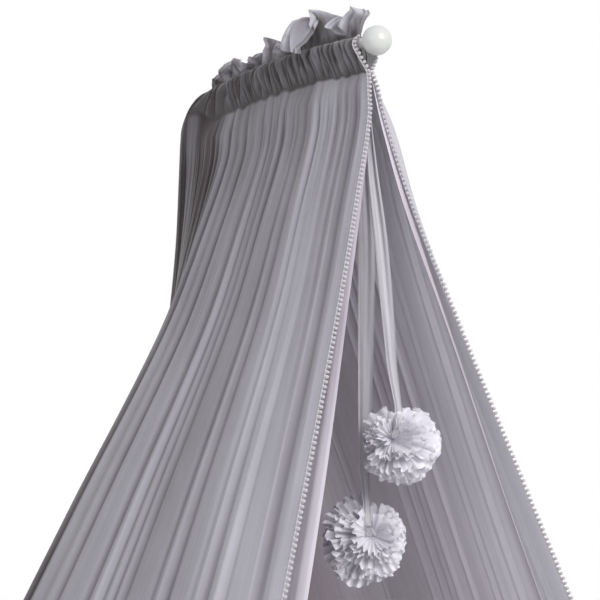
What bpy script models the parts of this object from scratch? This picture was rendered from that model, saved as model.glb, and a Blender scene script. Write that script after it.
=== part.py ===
"""Netting bed canopy on its bent drape rod.

Frame: metres, +Z up, the open front faces -Y and the rod lies in the plane x = 0. The origin is the middle of
the bracket plate's front face, which bears on the back of a bed's end board. The near side is at negative x.

The net is one sheet folded in half: its fold hangs down behind the rod's post and its two free edges meet at
the ball. Two seams make the tunnel for the rod, with a crumpled frill above it, and the skirts hang below.
"""
import math
from collections import namedtuple

import bmesh
import bpy
from mathutils import Matrix, Vector

# ---------------------------------------------------------------- driving sizes, in metres

PLATE = Vector((0.060, 0.005, 0.160))
PLATE_HOLE_RADIUS = 0.00275
PLATE_HOLE_X = 0.021
PLATE_HOLE_Z = 0.065
ROD_RADIUS = 0.008
TOUCH = 0.0003                      # gap left between pieces that bear on each other
BALL_RADIUS = 0.0225
BALL_FLAT = 0.0205                  # from the ball's centre to the flat that meets the rod
BALL_HEIGHT = 0.910                 # ball's centre above the origin
POST_FOOT = -0.100                  # lower end of the post
ARM_RISE = math.radians(8.6)        # the rod climbs this steeply behind the ball
ARM_RADIUS = 1.92                   # gentle arch of the arm
ARM_LENGTH = 0.456
BEND_RADIUS = 0.063
NET_THICKNESS = 0.0012
SEAM_ROOM = 0.0007                  # between the two layers where they are sewn together
LEAST_HALF_GAP = 0.0010             # nearest that the middle of a ply comes to the plane x = 0
RIBBON_THICKNESS = 0.0012
POMPOM_CORE = 0.022
TRIM_PITCH = 0.0280
TRIM_GAP = 0.0008                   # between a free front edge and its tape
TRIM_HALF_WIDTH = 0.0042
BEAD_RADIUS = 0.0030
TAPE_RADIUS = 0.0012
TRIM_MIN_X = 0.0036                 # keeps the two trims apart where the net is sewn flat
TRIM_ROD_CLEARANCE = 0.0014         # added to the rod and the bead where a trim passes the rod

POST_Y = PLATE.y + TOUCH + ROD_RADIUS
ARM_END_PITCH = ARM_RISE - ARM_LENGTH / ARM_RADIUS
BEND_LENGTH = BEND_RADIUS * (ARM_END_PITCH + math.pi / 2)
ARM_REACH = ARM_RADIUS * (math.sin(ARM_RISE) - math.sin(ARM_END_PITCH))
BEND_REACH = BEND_RADIUS * (math.sin(ARM_END_PITCH) + 1.0)
BALL_Y = POST_Y - ARM_REACH - BEND_REACH

# ---------------------------------------------------------------- the net's own tables

# Rows of the heading. On the arm: the row's half width and its height above the rod's centre. The middle
# three say where it crosses the rod's side in the bend, and the last two where it meets the back fold.
# "edge" is the distance of the free front edge behind the ball's centre.
Heading = namedtuple("Heading", "edge arm_x arm_h side_x side_h side_at fold_h fold_at ruffle")
UPPER_SEAM = Heading(0.040, 0.0013, 0.0106, 0.0013, 0.0106, 0.4430, 0.0106, 0.4443, 0.0)
HEADING = (
    UPPER_SEAM,
    Heading(0.038, 0.0090, 0.0046, 0.0098, 0.0042, 0.4560, 0.0110, 0.4780, 0.0022),
    Heading(0.034, 0.0125, -0.0070, 0.0122, 0.0, 0.4780, 0.0112, 0.5040, 0.0030),
    Heading(0.021, 0.0100, -0.0270, 0.0128, 0.0, 0.5040, 0.0126, 0.5280, 0.0018),
    Heading(0.013, 0.0029, -0.0480, 0.0142, 0.0, 0.5260, 0.0148, 0.5500, 0.0),
)
LOWER_SEAM = HEADING[-1]

# The frill above the upper seam: distance behind the ball, height and lean towards +x.
Frill = namedtuple("Frill", "at height lean")
FRILL = (
    Frill(0.030, 0.024, 0.004),
    Frill(0.048, 0.046, -0.003),
    Frill(0.075, 0.040, -0.008),
    Frill(0.088, 0.024, -0.002),
    Frill(0.110, 0.046, -0.012),
    Frill(0.150, 0.050, -0.016),
    Frill(0.195, 0.044, -0.010),
    Frill(0.224, 0.024, -0.003),
    Frill(0.250, 0.036, 0.008),
    Frill(0.300, 0.034, 0.002),
    Frill(0.330, 0.018, -0.002),
    Frill(0.365, 0.020, 0.000),
    Frill(0.385, 0.036, 0.004),
    Frill(0.415, 0.032, 0.002),
    Frill(0.446, 0.020, 0.000),
)
FRILL_WAVES = ((0.0285, 0.0042), (0.0127, 0.0022))      # wavelength along the rod, depth
FRILL_SPREAD = 2.2                  # how much further apart its two plies are at the top than at the seam
FRILL_SWAY = 0.003                  # how far it swings along the rod
FRILL_FADE = 0.020                  # length over which its lean and spread die out towards the back fold
FRILL_LEAST = 0.15                  # share of them that is left there

# Where the skirt hangs at each drop below the ball's centre: the free front edge, the corner where the side
# turns to the back, and the rounded back fold's half width and rear. "y" counts back from the ball's centre.
# A puff is how far a side bulges out just behind its free edge, fold_depth scales the folds' swings, and the
# insets are how far inside the outer layer the inner one hangs, at the sides and at the back fold.
Plan = namedtuple("Plan", "drop front_x front_y corner_x corner_y back_x back_y fold_y near_puff far_puff "
                          "fold_depth inset back_inset")
SKIRT = (
    Plan(0.066, 0.0075, 0.012, 0.0115, 0.372, 0.0155, 0.512, 0.5285, 0.003, 0.010, 0.90, 0.0040, 0.0036),
    Plan(0.125, 0.0160, 0.000, 0.0310, 0.352, 0.0155, 0.512, 0.5290, 0.006, 0.034, 1.30, 0.0060, 0.0036),
    Plan(0.250, 0.0530, -0.020, 0.0770, 0.348, 0.0175, 0.512, 0.5310, 0.008, 0.026, 1.30, 0.0130, 0.0042),
    Plan(0.420, 0.1120, -0.056, 0.1450, 0.348, 0.0320, 0.508, 0.5400, 0.006, 0.014, 1.20, 0.0210, 0.0100),
    Plan(0.700, 0.2150, -0.114, 0.2920, 0.350, 0.0740, 0.502, 0.5520, 0.006, 0.008, 1.05, 0.0420, 0.0240),
    Plan(1.100, 0.3650, -0.198, 0.4880, 0.356, 0.1450, 0.502, 0.5700, 0.006, 0.006, 0.95, 0.0620, 0.0400),
    Plan(1.585, 0.5450, -0.300, 0.6900, 0.365, 0.2400, 0.508, 0.5950, 0.006, 0.006, 0.90, 0.0800, 0.0500),
)

# One row for each main fold, from the front edge to the corner: its share of the width, how far it swings out
# and in against its own width, and where its crest lies on it. The back folds go on from the corner to the post.
Fold = namedtuple("Fold", "share swing crest")
NEAR_FOLDS = (
    Fold(1.5, 0.050, 0.30), Fold(0.7, 0.095, 0.18), Fold(0.8, 0.110, 0.15), Fold(1.3, 0.115, 0.20),
    Fold(0.6, 0.090, 0.25), Fold(1.6, 0.120, 0.14), Fold(0.8, 0.105, 0.20), Fold(0.6, 0.080, 0.25),
    Fold(1.1, 0.120, 0.16), Fold(0.6, 0.095, 0.22), Fold(0.7, 0.105, 0.20), Fold(1.2, 0.130, 0.12),
    Fold(0.9, 0.100, 0.18), Fold(1.1, 0.115, 0.15), Fold(0.9, 0.090, 0.22), Fold(1.2, 0.105, 0.18),
)
FAR_FOLDS = (
    Fold(1.2, 0.060, 0.25), Fold(0.9, 0.105, 0.18), Fold(1.4, 0.120, 0.14), Fold(0.7, 0.090, 0.22),
    Fold(0.8, 0.095, 0.20), Fold(1.1, 0.110, 0.16), Fold(1.5, 0.125, 0.14), Fold(0.6, 0.085, 0.25),
    Fold(0.9, 0.100, 0.20), Fold(1.2, 0.115, 0.15), Fold(0.7, 0.090, 0.22), Fold(0.8, 0.105, 0.18),
    Fold(1.3, 0.120, 0.14), Fold(0.9, 0.090, 0.20), Fold(1.0, 0.100, 0.18), Fold(1.1, 0.095, 0.20),
)
BACK_FOLDS = (Fold(1.1, 0.050, 0.20), Fold(0.8, 0.045, 0.25), Fold(1.1, 0.050, 0.20))
WRAP_SWING = 0.06                   # the same for the ribs round the back fold
COLUMNS_PER_FOLD = 4
INNER_FULLNESS = 0.85               # depth of the inner layer's folds against the outer one's
WRAP_COLUMNS = 4                    # from the rod's side round to the back fold
CORNER_AT = 0.372                   # distance behind the ball where the bend's gathers begin
BEND_LAYER_ROOM = 1.5               # extra room between the layers where they part to pass the rod
BACK_LEVEL_SHARE = 0.35             # share of those gathers that still hang level with the arm's

# Ribbons: drop below the ball, place, half width, and the turn of the width away from the rod's line.
RibbonRow = namedtuple("RibbonRow", "drop x y half_width turn")
RIBBON_LOWER = (
    RibbonRow(0.0480, 0.0000, 0.032, 0.0045, 0),
    RibbonRow(0.0800, 0.0005, 0.033, 0.0050, 0),
    RibbonRow(0.1250, 0.0030, 0.035, 0.0060, 12),
    RibbonRow(0.2000, 0.0100, 0.038, 0.0095, 40),
    RibbonRow(0.3000, 0.0177, 0.040, 0.0125, 60),
    RibbonRow(0.4200, 0.0212, 0.042, 0.0120, 66),
    RibbonRow(0.5400, 0.0234, 0.044, 0.0100, 68),
    RibbonRow(0.6500, 0.0237, 0.045, 0.0070, 68),
    RibbonRow(0.7150, 0.0219, 0.045, 0.0035, 68),
)
RIBBON_UPPER = (
    RibbonRow(0.0545, 0.0000, 0.020, 0.0045, 0),
    RibbonRow(0.0800, 0.0000, 0.019, 0.0050, 0),
    RibbonRow(0.1250, 0.0010, 0.016, 0.0055, 10),
    RibbonRow(0.2000, 0.0040, 0.010, 0.0080, 35),
    RibbonRow(0.3000, 0.0120, 0.000, 0.0100, 52),
    RibbonRow(0.4200, 0.0172, -0.013, 0.0090, 60),
    RibbonRow(0.5200, 0.0198, -0.024, 0.0060, 60),
    RibbonRow(0.5790, 0.0209, -0.030, 0.0035, 60),
)

# Pompoms: the core's centre, the reach of the locks, and a turn that makes the two unlike.
Pompom = namedtuple("Pompom", "name ribbon reach turn")
POMPOMS = (
    Pompom("pompom_lower", RIBBON_LOWER, 0.065, 0.0),
    Pompom("pompom_upper", RIBBON_UPPER, 0.064, 0.9),
)
TOP_LOCKS_LEFT_OUT = 0.80           # faces whose direction is steeper than this leave room for the ribbon
LOCK_SPREAD = 0.84                  # width of a lock's tip against the room that it has
LOCK_UNEVENNESS = 0.12
POMPOM_SQUASH = 0.93

# ---------------------------------------------------------------- small helpers


def mix(a, b, t):
    return a + (b - a) * t


def smooth(t):
    return t * t * (3.0 - 2.0 * t)


def between(rows, key, value):
    """The two rows that value lies between on the named column, and how far it is from the first to the second."""
    for low, high in zip(rows, rows[1:]):
        start, end = getattr(low, key), getattr(high, key)
        if value <= end:
            return low, high, max(0.0, (value - start) / (end - start))
    return rows[-2], rows[-1], 1.0


def clear_scene():
    for obj in list(bpy.data.objects):
        bpy.data.objects.remove(obj, do_unlink=True)


def make_collection(name):
    collection = bpy.data.collections.new(name)
    bpy.context.scene.collection.children.link(collection)
    return collection


def make_material(name, colour, roughness, metallic=0.0):
    material = bpy.data.materials.new(name)
    material.use_nodes = True
    shader = material.node_tree.nodes["Principled BSDF"]
    shader.inputs["Base Color"].default_value = (*colour, 1.0)
    shader.inputs["Roughness"].default_value = roughness
    shader.inputs["Metallic"].default_value = metallic
    return material


def add_object(name, data, material, collection):
    obj = bpy.data.objects.new(name, data)
    obj.data.materials.append(material)
    collection.objects.link(obj)
    return obj


def add_mesh(name, mesh, material, collection, smooth_angle=None):
    if smooth_angle is not None:
        mesh.shade_smooth()
        mesh.set_sharp_from_angle(angle=math.radians(smooth_angle))
    return add_object(name, mesh, material, collection)


def loft_mesh(name, rows, closed=False):
    """A mesh through rows of points; closed joins each row's ends and caps the first and last rows."""
    count = len(rows[0])
    points = [point for row in rows for point in row]
    spans = count if closed else count - 1
    faces = []
    for r in range(len(rows) - 1):
        for c in range(spans):
            a, b = r * count + c, r * count + (c + 1) % count
            faces.append((a, b, b + count, a + count))
    if closed:
        faces.append(tuple(reversed(range(count))))
        faces.append(tuple(range(len(points) - count, len(points))))
    mesh = bpy.data.meshes.new(name)
    mesh.from_pydata(points, [], faces)
    return mesh


def add_sheet(name, rows, thickness, material, collection):
    """Cloth: an open surface through rows of points, with its thickness put half on each side."""
    obj = add_mesh(name, loft_mesh(name, rows), material, collection, smooth_angle=60)
    solidify = obj.modifiers.new("thickness", "SOLIDIFY")
    solidify.thickness = thickness
    solidify.offset = 0.0
    return obj


# ---------------------------------------------------------------- the rod, its ball and its plate


def rod_frame(station):
    """The rod's centre at a distance behind the ball's centre, and the direction away from the bend's middle."""
    arm = min(station, ARM_LENGTH)
    pitch = ARM_RISE - arm / ARM_RADIUS
    y = ARM_RADIUS * (math.sin(ARM_RISE) - math.sin(pitch))
    z = ARM_RADIUS * (math.cos(pitch) - math.cos(ARM_RISE))
    if station > ARM_LENGTH:
        start = pitch
        pitch = start - min(station - ARM_LENGTH, BEND_LENGTH) / BEND_RADIUS
        y += BEND_RADIUS * (math.sin(start) - math.sin(pitch))
        z += BEND_RADIUS * (math.cos(pitch) - math.cos(start))
        z -= max(0.0, station - ARM_LENGTH - BEND_LENGTH)
    centre = Vector((0.0, BALL_Y + y, BALL_HEIGHT + z))
    return centre, Vector((0.0, -math.sin(pitch), math.cos(pitch)))


def rod_points():
    arm_steps, bend_steps = 9, 9
    front = BALL_FLAT + TOUCH
    stations = [mix(front, ARM_LENGTH, i / arm_steps) for i in range(arm_steps)]
    stations += [ARM_LENGTH + BEND_LENGTH * i / bend_steps for i in range(bend_steps + 1)]
    return [rod_frame(s)[0] for s in stations] + [Vector((0.0, POST_Y, POST_FOOT))]


def add_rod(material, collection):
    points = rod_points()
    curve = bpy.data.curves.new("rod", "CURVE")
    curve.dimensions = "3D"
    curve.bevel_depth = ROD_RADIUS
    curve.bevel_resolution = 4
    curve.use_fill_caps = True
    spline = curve.splines.new("POLY")
    spline.points.add(len(points) - 1)
    for spline_point, point in zip(spline.points, points):
        spline_point.co = (*point, 1.0)
    spline.use_smooth = True
    return add_object("rod", curve, material, collection)


def add_ball(material, collection):
    """The finial: a ball with a small flat where the rod's end meets it."""
    mesh = bpy.data.meshes.new("ball")
    bm = bmesh.new()
    bmesh.ops.create_uvsphere(bm, u_segments=18, v_segments=10, radius=BALL_RADIUS)
    cut = bmesh.ops.bisect_plane(
        bm, geom=bm.verts[:] + bm.edges[:] + bm.faces[:],
        plane_co=(0.0, 0.0, -BALL_FLAT), plane_no=(0.0, 0.0, -1.0), clear_outer=True)
    rim = [item for item in cut["geom_cut"] if isinstance(item, bmesh.types.BMEdge)]
    bmesh.ops.contextual_create(bm, geom=rim)
    bmesh.ops.recalc_face_normals(bm, faces=bm.faces[:])
    bm.to_mesh(mesh)
    bm.free()
    ball = add_mesh("ball", mesh, material, collection, smooth_angle=40)
    ball.location = (0.0, BALL_Y, BALL_HEIGHT)
    ball.rotation_euler.x = math.pi / 2 + ARM_RISE
    return ball


def box_mesh(name, size):
    mesh = bpy.data.meshes.new(name)
    bm = bmesh.new()
    bmesh.ops.create_cube(bm, size=1.0)
    bmesh.ops.scale(bm, vec=size, verts=bm.verts)
    bm.to_mesh(mesh)
    bm.free()
    return mesh


def add_hole_cutter(index, x, z, cutters):
    mesh = bpy.data.meshes.new(f"hole_cutter_{index}")
    bm = bmesh.new()
    bmesh.ops.create_cone(bm, cap_ends=True, segments=12, radius1=PLATE_HOLE_RADIUS,
                          radius2=PLATE_HOLE_RADIUS, depth=PLATE.y * 3)
    bm.to_mesh(mesh)
    bm.free()
    cutter = bpy.data.objects.new(mesh.name, mesh)
    cutter.location = (x, PLATE.y / 2, z)
    cutter.rotation_euler.x = math.pi / 2
    cutter.hide_render = True
    cutter.display_type = "WIRE"
    cutters.objects.link(cutter)
    return cutter


def add_plate(material, collection, cutters):
    """The bracket plate: its front face is at y = 0 and the post is fixed to its back."""
    plate = add_mesh("bracket_plate", box_mesh("bracket_plate", PLATE), material, collection)
    plate.location.y = PLATE.y / 2
    corners = [(x, z) for x in (-PLATE_HOLE_X, PLATE_HOLE_X) for z in (-PLATE_HOLE_Z, PLATE_HOLE_Z)]
    for index, (x, z) in enumerate(corners):
        hole = plate.modifiers.new(f"hole_{index}", "BOOLEAN")
        hole.object = add_hole_cutter(index, x, z, cutters)
        hole.solver = "EXACT"
    return plate


# ---------------------------------------------------------------- the net


Column = namedtuple("Column", "side zone index share top wave swing")
# side is -1 near and +1 far; zone is "side", "back" or "wrap"; share is the column's place along its zone on
# the skirt and top its place on the heading, both from 0 at the front; wave is 1 on a fold's crest and -1 in
# its trough; swing is the fold's swing as a share of the zone's length.


def fold_columns(side, zone, folds):
    """Columns along a run of folds: each fold swings out to its crest and in to its trough, and back."""
    total = sum(fold.share for fold in folds)
    count = len(folds) * COLUMNS_PER_FOLD
    columns, done = [], 0.0
    for number, fold in enumerate(folds):
        steps = ((0.0, 0.0), (fold.crest, 1.0), (0.5, 0.0), (1.0 - fold.crest, -1.0))
        for step, (part, wave) in enumerate(steps):
            share = (done + fold.share * part) / total
            index = number * COLUMNS_PER_FOLD + step
            swing = fold.swing * fold.share / total
            columns.append(Column(side, zone, index, share, index / count, wave, swing))
        done += fold.share
    return columns


def side_columns(side, folds):
    """All columns from the free front edge to the one before the back fold."""
    columns = fold_columns(side, "side", folds) + fold_columns(side, "back", BACK_FOLDS)
    wrap = [Column(side, "wrap", i, 0.0, i / WRAP_COLUMNS, float(i % 2), WRAP_SWING) for i in range(WRAP_COLUMNS)]
    return columns + wrap


def net_columns():
    near = side_columns(-1, NEAR_FOLDS)
    far = side_columns(1, FAR_FOLDS)
    middle = Column(-1, "wrap", WRAP_COLUMNS, 0.0, 1.0, 0.0, 0.0)
    return near + [middle] + far[::-1]


def section_point(station, x, height):
    centre, outward = rod_frame(station)
    return centre + outward * height + Vector((x, 0.0, 0.0))


def heading_place(row, column):
    """Station, half width and height of a heading row at a column, before any ruffle."""
    if column.zone == "side":
        return mix(row.edge, CORNER_AT, column.top), row.arm_x, row.arm_h
    if column.zone == "back":
        lift = smooth(max(0.0, (column.top - BACK_LEVEL_SHARE) / (1.0 - BACK_LEVEL_SHARE)))
        station = mix(CORNER_AT, row.side_at, column.top)
        return station, mix(row.arm_x, row.side_x, lift), mix(row.arm_h, row.side_h, lift)
    turn = column.top * math.pi / 2
    station = mix(row.side_at, row.fold_at, math.sin(turn))
    return station, row.side_x * math.cos(turn), mix(row.side_h, row.fold_h, math.sin(turn))


def heading_point(row, column, layer_gap=0.0):
    station, x, height = heading_place(row, column)
    ruffle = row.ruffle * (column.index % 2)
    if column.zone == "back":
        ruffle *= 1.0 - column.top
        layer_gap *= 1.0 + BEND_LAYER_ROOM * math.sin(math.pi * column.top)
    if column.zone == "wrap":
        grow = (ruffle / 2 - layer_gap) / max(math.hypot(x, height), ROD_RADIUS)
        x, height = x * (1.0 + grow), height * (1.0 + grow)
    else:
        x = max(x + ruffle - layer_gap, LEAST_HALF_GAP)
    return section_point(station, column.side * x, height)


def frill_point(column, level):
    """Frill above the upper seam: level is 0.5 half way up and 1 at its top; both plies lean together."""
    station, x, height = heading_place(UPPER_SEAM, column)
    low, high, t = between(FRILL, "at", station)
    rise = mix(low.height, high.height, smooth(t))
    lean = mix(low.lean, high.lean, smooth(t))
    for length, depth in FRILL_WAVES:
        lean += depth * math.sin(2 * math.pi * station / length)
    fade = min(1.0, (UPPER_SEAM.fold_at - station) / FRILL_FADE + FRILL_LEAST)
    sway = FRILL_SWAY * math.sin(2 * math.pi * station / FRILL_WAVES[0][0] + level)
    spread = x * (1.0 + FRILL_SPREAD * level * fade)
    return section_point(station + sway * fade, column.side * spread + lean * level * fade,
                         height + rise * level)


def plan_point(plan, column):
    """Place, outward direction and zone length of a column on the skirt at one drop, as for the near side."""
    front = Vector((-plan.front_x, plan.front_y))
    corner = Vector((-plan.corner_x, plan.corner_y))
    back = Vector((-plan.back_x, plan.back_y))
    side_run = (corner - front).normalized()
    back_run = (back - corner).normalized()
    if column.zone == "side":
        point = front.lerp(corner, column.share)
        run = side_run.lerp(back_run, 0.5 * column.share ** 2)
        length = (corner - front).length
        puff = plan.near_puff if column.side < 0 else plan.far_puff
        point.x -= puff * math.sin(math.pi * math.sqrt(column.share))
    elif column.zone == "back":
        point = corner.lerp(back, column.share)
        run = side_run.lerp(back_run, 0.5 + 0.5 * column.share)
        length = (back - corner).length
    else:
        turn = column.top * math.pi / 2
        depth = plan.fold_y - plan.back_y
        point = Vector((back.x * math.cos(turn), back.y + depth * math.sin(turn)))
        length = plan.back_x
        run = Vector((math.sin(turn) * plan.back_x, math.cos(turn) * depth))
    return point, Vector((-run.y, run.x)).normalized(), length


def layer_inset(plan, column):
    """How far inside the outer layer the inner one hangs."""
    nearness = {"side": 0.0, "back": column.share, "wrap": 1.0}[column.zone]
    return mix(plan.inset, plan.back_inset, nearness)


def skirt_point(plan, column, inset=0.0, fullness=1.0):
    point, outward, length = plan_point(plan, column)
    swing = column.wave * column.swing * length * plan.fold_depth * fullness
    point = point + outward * (swing - inset)
    return Vector((-column.side * point.x, BALL_Y + point.y, BALL_HEIGHT - plan.drop))


def canopy_rows(columns):
    rows = [[frill_point(column, level) for column in columns] for level in (1.0, 0.5)]
    rows += [[heading_point(row, column) for column in columns] for row in HEADING]
    rows += [[skirt_point(plan, column) for column in columns] for plan in SKIRT]
    return rows


def inner_rows(columns):
    """The inner layer is caught in the lower seam and hangs inside the outer one, fold for fold."""
    gap = NET_THICKNESS + SEAM_ROOM
    rows = [[heading_point(LOWER_SEAM, column, layer_gap=gap) for column in columns]]
    rows += [[skirt_point(plan, column, layer_inset(plan, column), INNER_FULLNESS) for column in columns]
             for plan in SKIRT]
    return rows


def inner_columns(columns):
    """The two free edges, the crests and troughs of the side folds, and every column round the bend."""
    kept = [column for column in columns[1:-1] if column.zone != "side" or column.wave != 0.0]
    return [columns[0]] + kept + [columns[-1]]


# ---------------------------------------------------------------- trims, ribbons and pompoms


def resample(path, pitch):
    """Points along a path from its start to its end, at the even pitch nearest to the one asked for."""
    lengths = [(end - start).length for start, end in zip(path, path[1:])]
    count = round(sum(lengths) / pitch)
    step = sum(lengths) / count
    points, done, leg = [path[0].copy()], 0.0, 0
    for number in range(1, count):
        while number * step > done + lengths[leg]:
            done += lengths[leg]
            leg += 1
        points.append(path[leg].lerp(path[leg + 1], (number * step - done) / lengths[leg]))
    return points + [path[-1].copy()]


def trim_path(edge, side):
    """Middle of the tape, just ahead of a free front edge and clear of the rod where it passes that."""
    path = []
    for row, point in zip(HEADING + SKIRT, edge):
        x = side * max(TRIM_MIN_X, abs(point.x))
        middle = Vector((x, point.y - TRIM_HALF_WIDTH - TRIM_GAP, point.z))
        if row in HEADING:
            axis = rod_frame(row.edge)[0]
            away = Vector((middle.x, 0.0, middle.z - axis.z))
            reach = max(away.length, ROD_RADIUS + BEAD_RADIUS + TRIM_ROD_CLEARANCE)
            middle = Vector((0.0, middle.y, axis.z)) + away.normalized() * reach
        path.append(middle)
    return path


def trim_rows(edge, side):
    """Rings of a narrow tape with a bead at every second ring."""
    rows = []
    for index, centre in enumerate(resample(trim_path(edge, side), TRIM_PITCH / 2)):
        bulge = (TAPE_RADIUS, BEAD_RADIUS)[index % 2]
        ahead = Vector((0.0, -TRIM_HALF_WIDTH, 0.0))
        across = Vector((bulge, 0.0, 0.0))
        rows.append([centre + ahead, centre + across, centre - ahead, centre - across])
    return rows


def outward_faces(mesh):
    bm = bmesh.new()
    bm.from_mesh(mesh)
    bmesh.ops.recalc_face_normals(bm, faces=bm.faces[:])
    bm.to_mesh(mesh)
    bm.free()


def add_trim(name, edge, side, material, collection):
    mesh = loft_mesh(name, trim_rows(edge, side), closed=True)
    outward_faces(mesh)
    return add_mesh(name, mesh, material, collection, smooth_angle=50)


def ribbon_rows(table):
    rows = []
    for row in table:
        turn = math.radians(row.turn)
        across = Vector((-math.sin(turn), math.cos(turn), 0.0)) * row.half_width
        facing = Vector((math.cos(turn), math.sin(turn), 0.0))
        centre = Vector((row.x, BALL_Y + row.y, BALL_HEIGHT - row.drop))
        crease = facing * row.half_width * 0.12
        rows.append([centre - across, centre + crease, centre + across])
    return rows


def pompom_mesh(pompom):
    """A core whose faces are drawn out into locks, each in its own cone so that no two of them touch."""
    mesh = bpy.data.meshes.new(pompom.name)
    bm = bmesh.new()
    bmesh.ops.create_icosphere(bm, subdivisions=2, radius=POMPOM_CORE)
    faces = [face for face in bm.faces if face.normal.z < TOP_LOCKS_LEFT_OUT]
    drawn = bmesh.ops.extrude_discrete_faces(bm, faces=faces)["faces"]
    for number, face in enumerate(drawn):
        middle = face.calc_center_median()
        uneven = 1.0 - LOCK_UNEVENNESS * (0.5 + 0.5 * math.sin(number * 2.4 + pompom.turn))
        reach = pompom.reach * uneven / middle.length
        for vert in face.verts:
            vert.co = middle * reach + (vert.co - middle) * reach * LOCK_SPREAD
    bmesh.ops.rotate(bm, verts=bm.verts, cent=(0.0, 0.0, 0.0), matrix=Matrix.Rotation(pompom.turn, 3, "Z"))
    low = [vert for vert in bm.verts if vert.co.length > POMPOM_CORE * 1.5]
    bmesh.ops.scale(bm, vec=(1.0, 1.0, POMPOM_SQUASH), verts=low)
    bmesh.ops.recalc_face_normals(bm, faces=bm.faces[:])
    bm.to_mesh(mesh)
    bm.free()
    return mesh


def add_pompom(pompom, material, collection):
    obj = add_mesh(pompom.name, pompom_mesh(pompom), material, collection)
    end = pompom.ribbon[-1]
    below = end.drop + TOUCH + POMPOM_CORE
    obj.location = (end.x, BALL_Y + end.y, BALL_HEIGHT - below)
    return obj


# ---------------------------------------------------------------- the whole canopy


def build():
    clear_scene()
    parts = make_collection("netting_canopy")
    cutters = make_collection("cutters")
    net = make_material("net", (0.33, 0.32, 0.36), 0.85)
    inner_net = make_material("inner_net", (0.42, 0.40, 0.46), 0.85)
    trim = make_material("trim", (0.62, 0.60, 0.66), 0.80)
    tulle = make_material("tulle", (0.74, 0.72, 0.79), 0.85)
    ribbon = make_material("ribbon", (0.60, 0.58, 0.64), 0.80)
    white_paint = make_material("white_paint", (0.86, 0.86, 0.86), 0.35)
    gloss_white = make_material("gloss_white", (0.90, 0.90, 0.90), 0.12)

    columns = net_columns()
    rows = canopy_rows(columns)
    add_sheet("net_canopy", rows, NET_THICKNESS, net, parts)
    add_sheet("inner_layer", inner_rows(inner_columns(columns)), NET_THICKNESS, inner_net, parts)
    frill_rows = 2
    add_trim("trim_near", [row[0] for row in rows[frill_rows:]], -1, trim, parts)
    add_trim("trim_far", [row[-1] for row in rows[frill_rows:]], 1, trim, parts)
    add_sheet("ribbon_lower", ribbon_rows(RIBBON_LOWER), RIBBON_THICKNESS, ribbon, parts)
    add_sheet("ribbon_upper", ribbon_rows(RIBBON_UPPER), RIBBON_THICKNESS, ribbon, parts)
    for pompom in POMPOMS:
        add_pompom(pompom, tulle, parts)
    add_rod(white_paint, parts)
    add_ball(gloss_white, parts)
    add_plate(white_paint, parts, cutters)


build()
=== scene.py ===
"""Looks of a netting bed canopy that hangs on its bent drape rod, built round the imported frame.

Frame: metres, +Z up, the open front faces -Y and the rod lies in the plane x = 0. The near side, towards the
camera, is at negative x. The net's main folds are those of the solids, with finer pleats laid on them.
"""
import math
import random
from collections import namedtuple

import bmesh
import bpy
from mathutils import Matrix, Vector, noise


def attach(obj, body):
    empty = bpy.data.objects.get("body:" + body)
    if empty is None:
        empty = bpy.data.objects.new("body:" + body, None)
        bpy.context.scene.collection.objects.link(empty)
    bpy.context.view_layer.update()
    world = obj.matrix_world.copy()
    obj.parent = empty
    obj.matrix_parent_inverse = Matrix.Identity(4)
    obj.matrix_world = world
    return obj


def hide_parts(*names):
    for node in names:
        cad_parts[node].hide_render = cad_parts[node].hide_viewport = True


# ---- sizes shared with the solids, in metres

PLATE = Vector((0.060, 0.005, 0.160))
PLATE_HOLE_RADIUS = 0.00275
PLATE_HOLE_X = 0.021
PLATE_HOLE_Z = 0.065
ROD_RADIUS = 0.008
TOUCH = 0.0003
BALL_RADIUS = 0.0225
BALL_FLAT = 0.0205
BALL_HEIGHT = 0.910
POST_FOOT = -0.100
ARM_RISE = math.radians(8.6)
ARM_RADIUS = 1.92
ARM_LENGTH = 0.456
BEND_RADIUS = 0.063
POMPOM_CORE = 0.022
TRIM_HALF_WIDTH = 0.0042
TRIM_GAP = 0.0008
TRIM_MIN_X = 0.0036
LEAST_HALF_GAP = 0.0010
CORNER_AT = 0.372
BACK_LEVEL_SHARE = 0.35
BEND_LAYER_ROOM = 1.5
INNER_FULLNESS = 0.85
LAYER_GAP = 0.0019  # between the two layers where they are sewn together

POST_Y = PLATE.y + TOUCH + ROD_RADIUS
ARM_END_PITCH = ARM_RISE - ARM_LENGTH / ARM_RADIUS
BEND_LENGTH = BEND_RADIUS * (ARM_END_PITCH + math.pi / 2)
ARM_REACH = ARM_RADIUS * (math.sin(ARM_RISE) - math.sin(ARM_END_PITCH))
BEND_REACH = BEND_RADIUS * (math.sin(ARM_END_PITCH) + 1.0)
BALL_Y = POST_Y - ARM_REACH - BEND_REACH

# Rows of the heading, from the upper seam to the lower one.
Heading = namedtuple("Heading", "edge arm_x arm_h side_x side_h side_at fold_h fold_at ruffle")
HEADING = (
    Heading(0.040, 0.0013, 0.0106, 0.0013, 0.0106, 0.4430, 0.0106, 0.4443, 0.0),
    Heading(0.038, 0.0090, 0.0046, 0.0098, 0.0042, 0.4560, 0.0110, 0.4780, 0.0030),
    Heading(0.034, 0.0125, -0.0070, 0.0122, 0.0, 0.4780, 0.0112, 0.5040, 0.0042),
    Heading(0.021, 0.0100, -0.0270, 0.0128, 0.0, 0.5040, 0.0126, 0.5280, 0.0030),
    Heading(0.013, 0.0029, -0.0480, 0.0142, 0.0, 0.5260, 0.0148, 0.5500, 0.0),
)
UPPER_SEAM = HEADING[0]
LAST_ROW = len(HEADING) - 1

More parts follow.
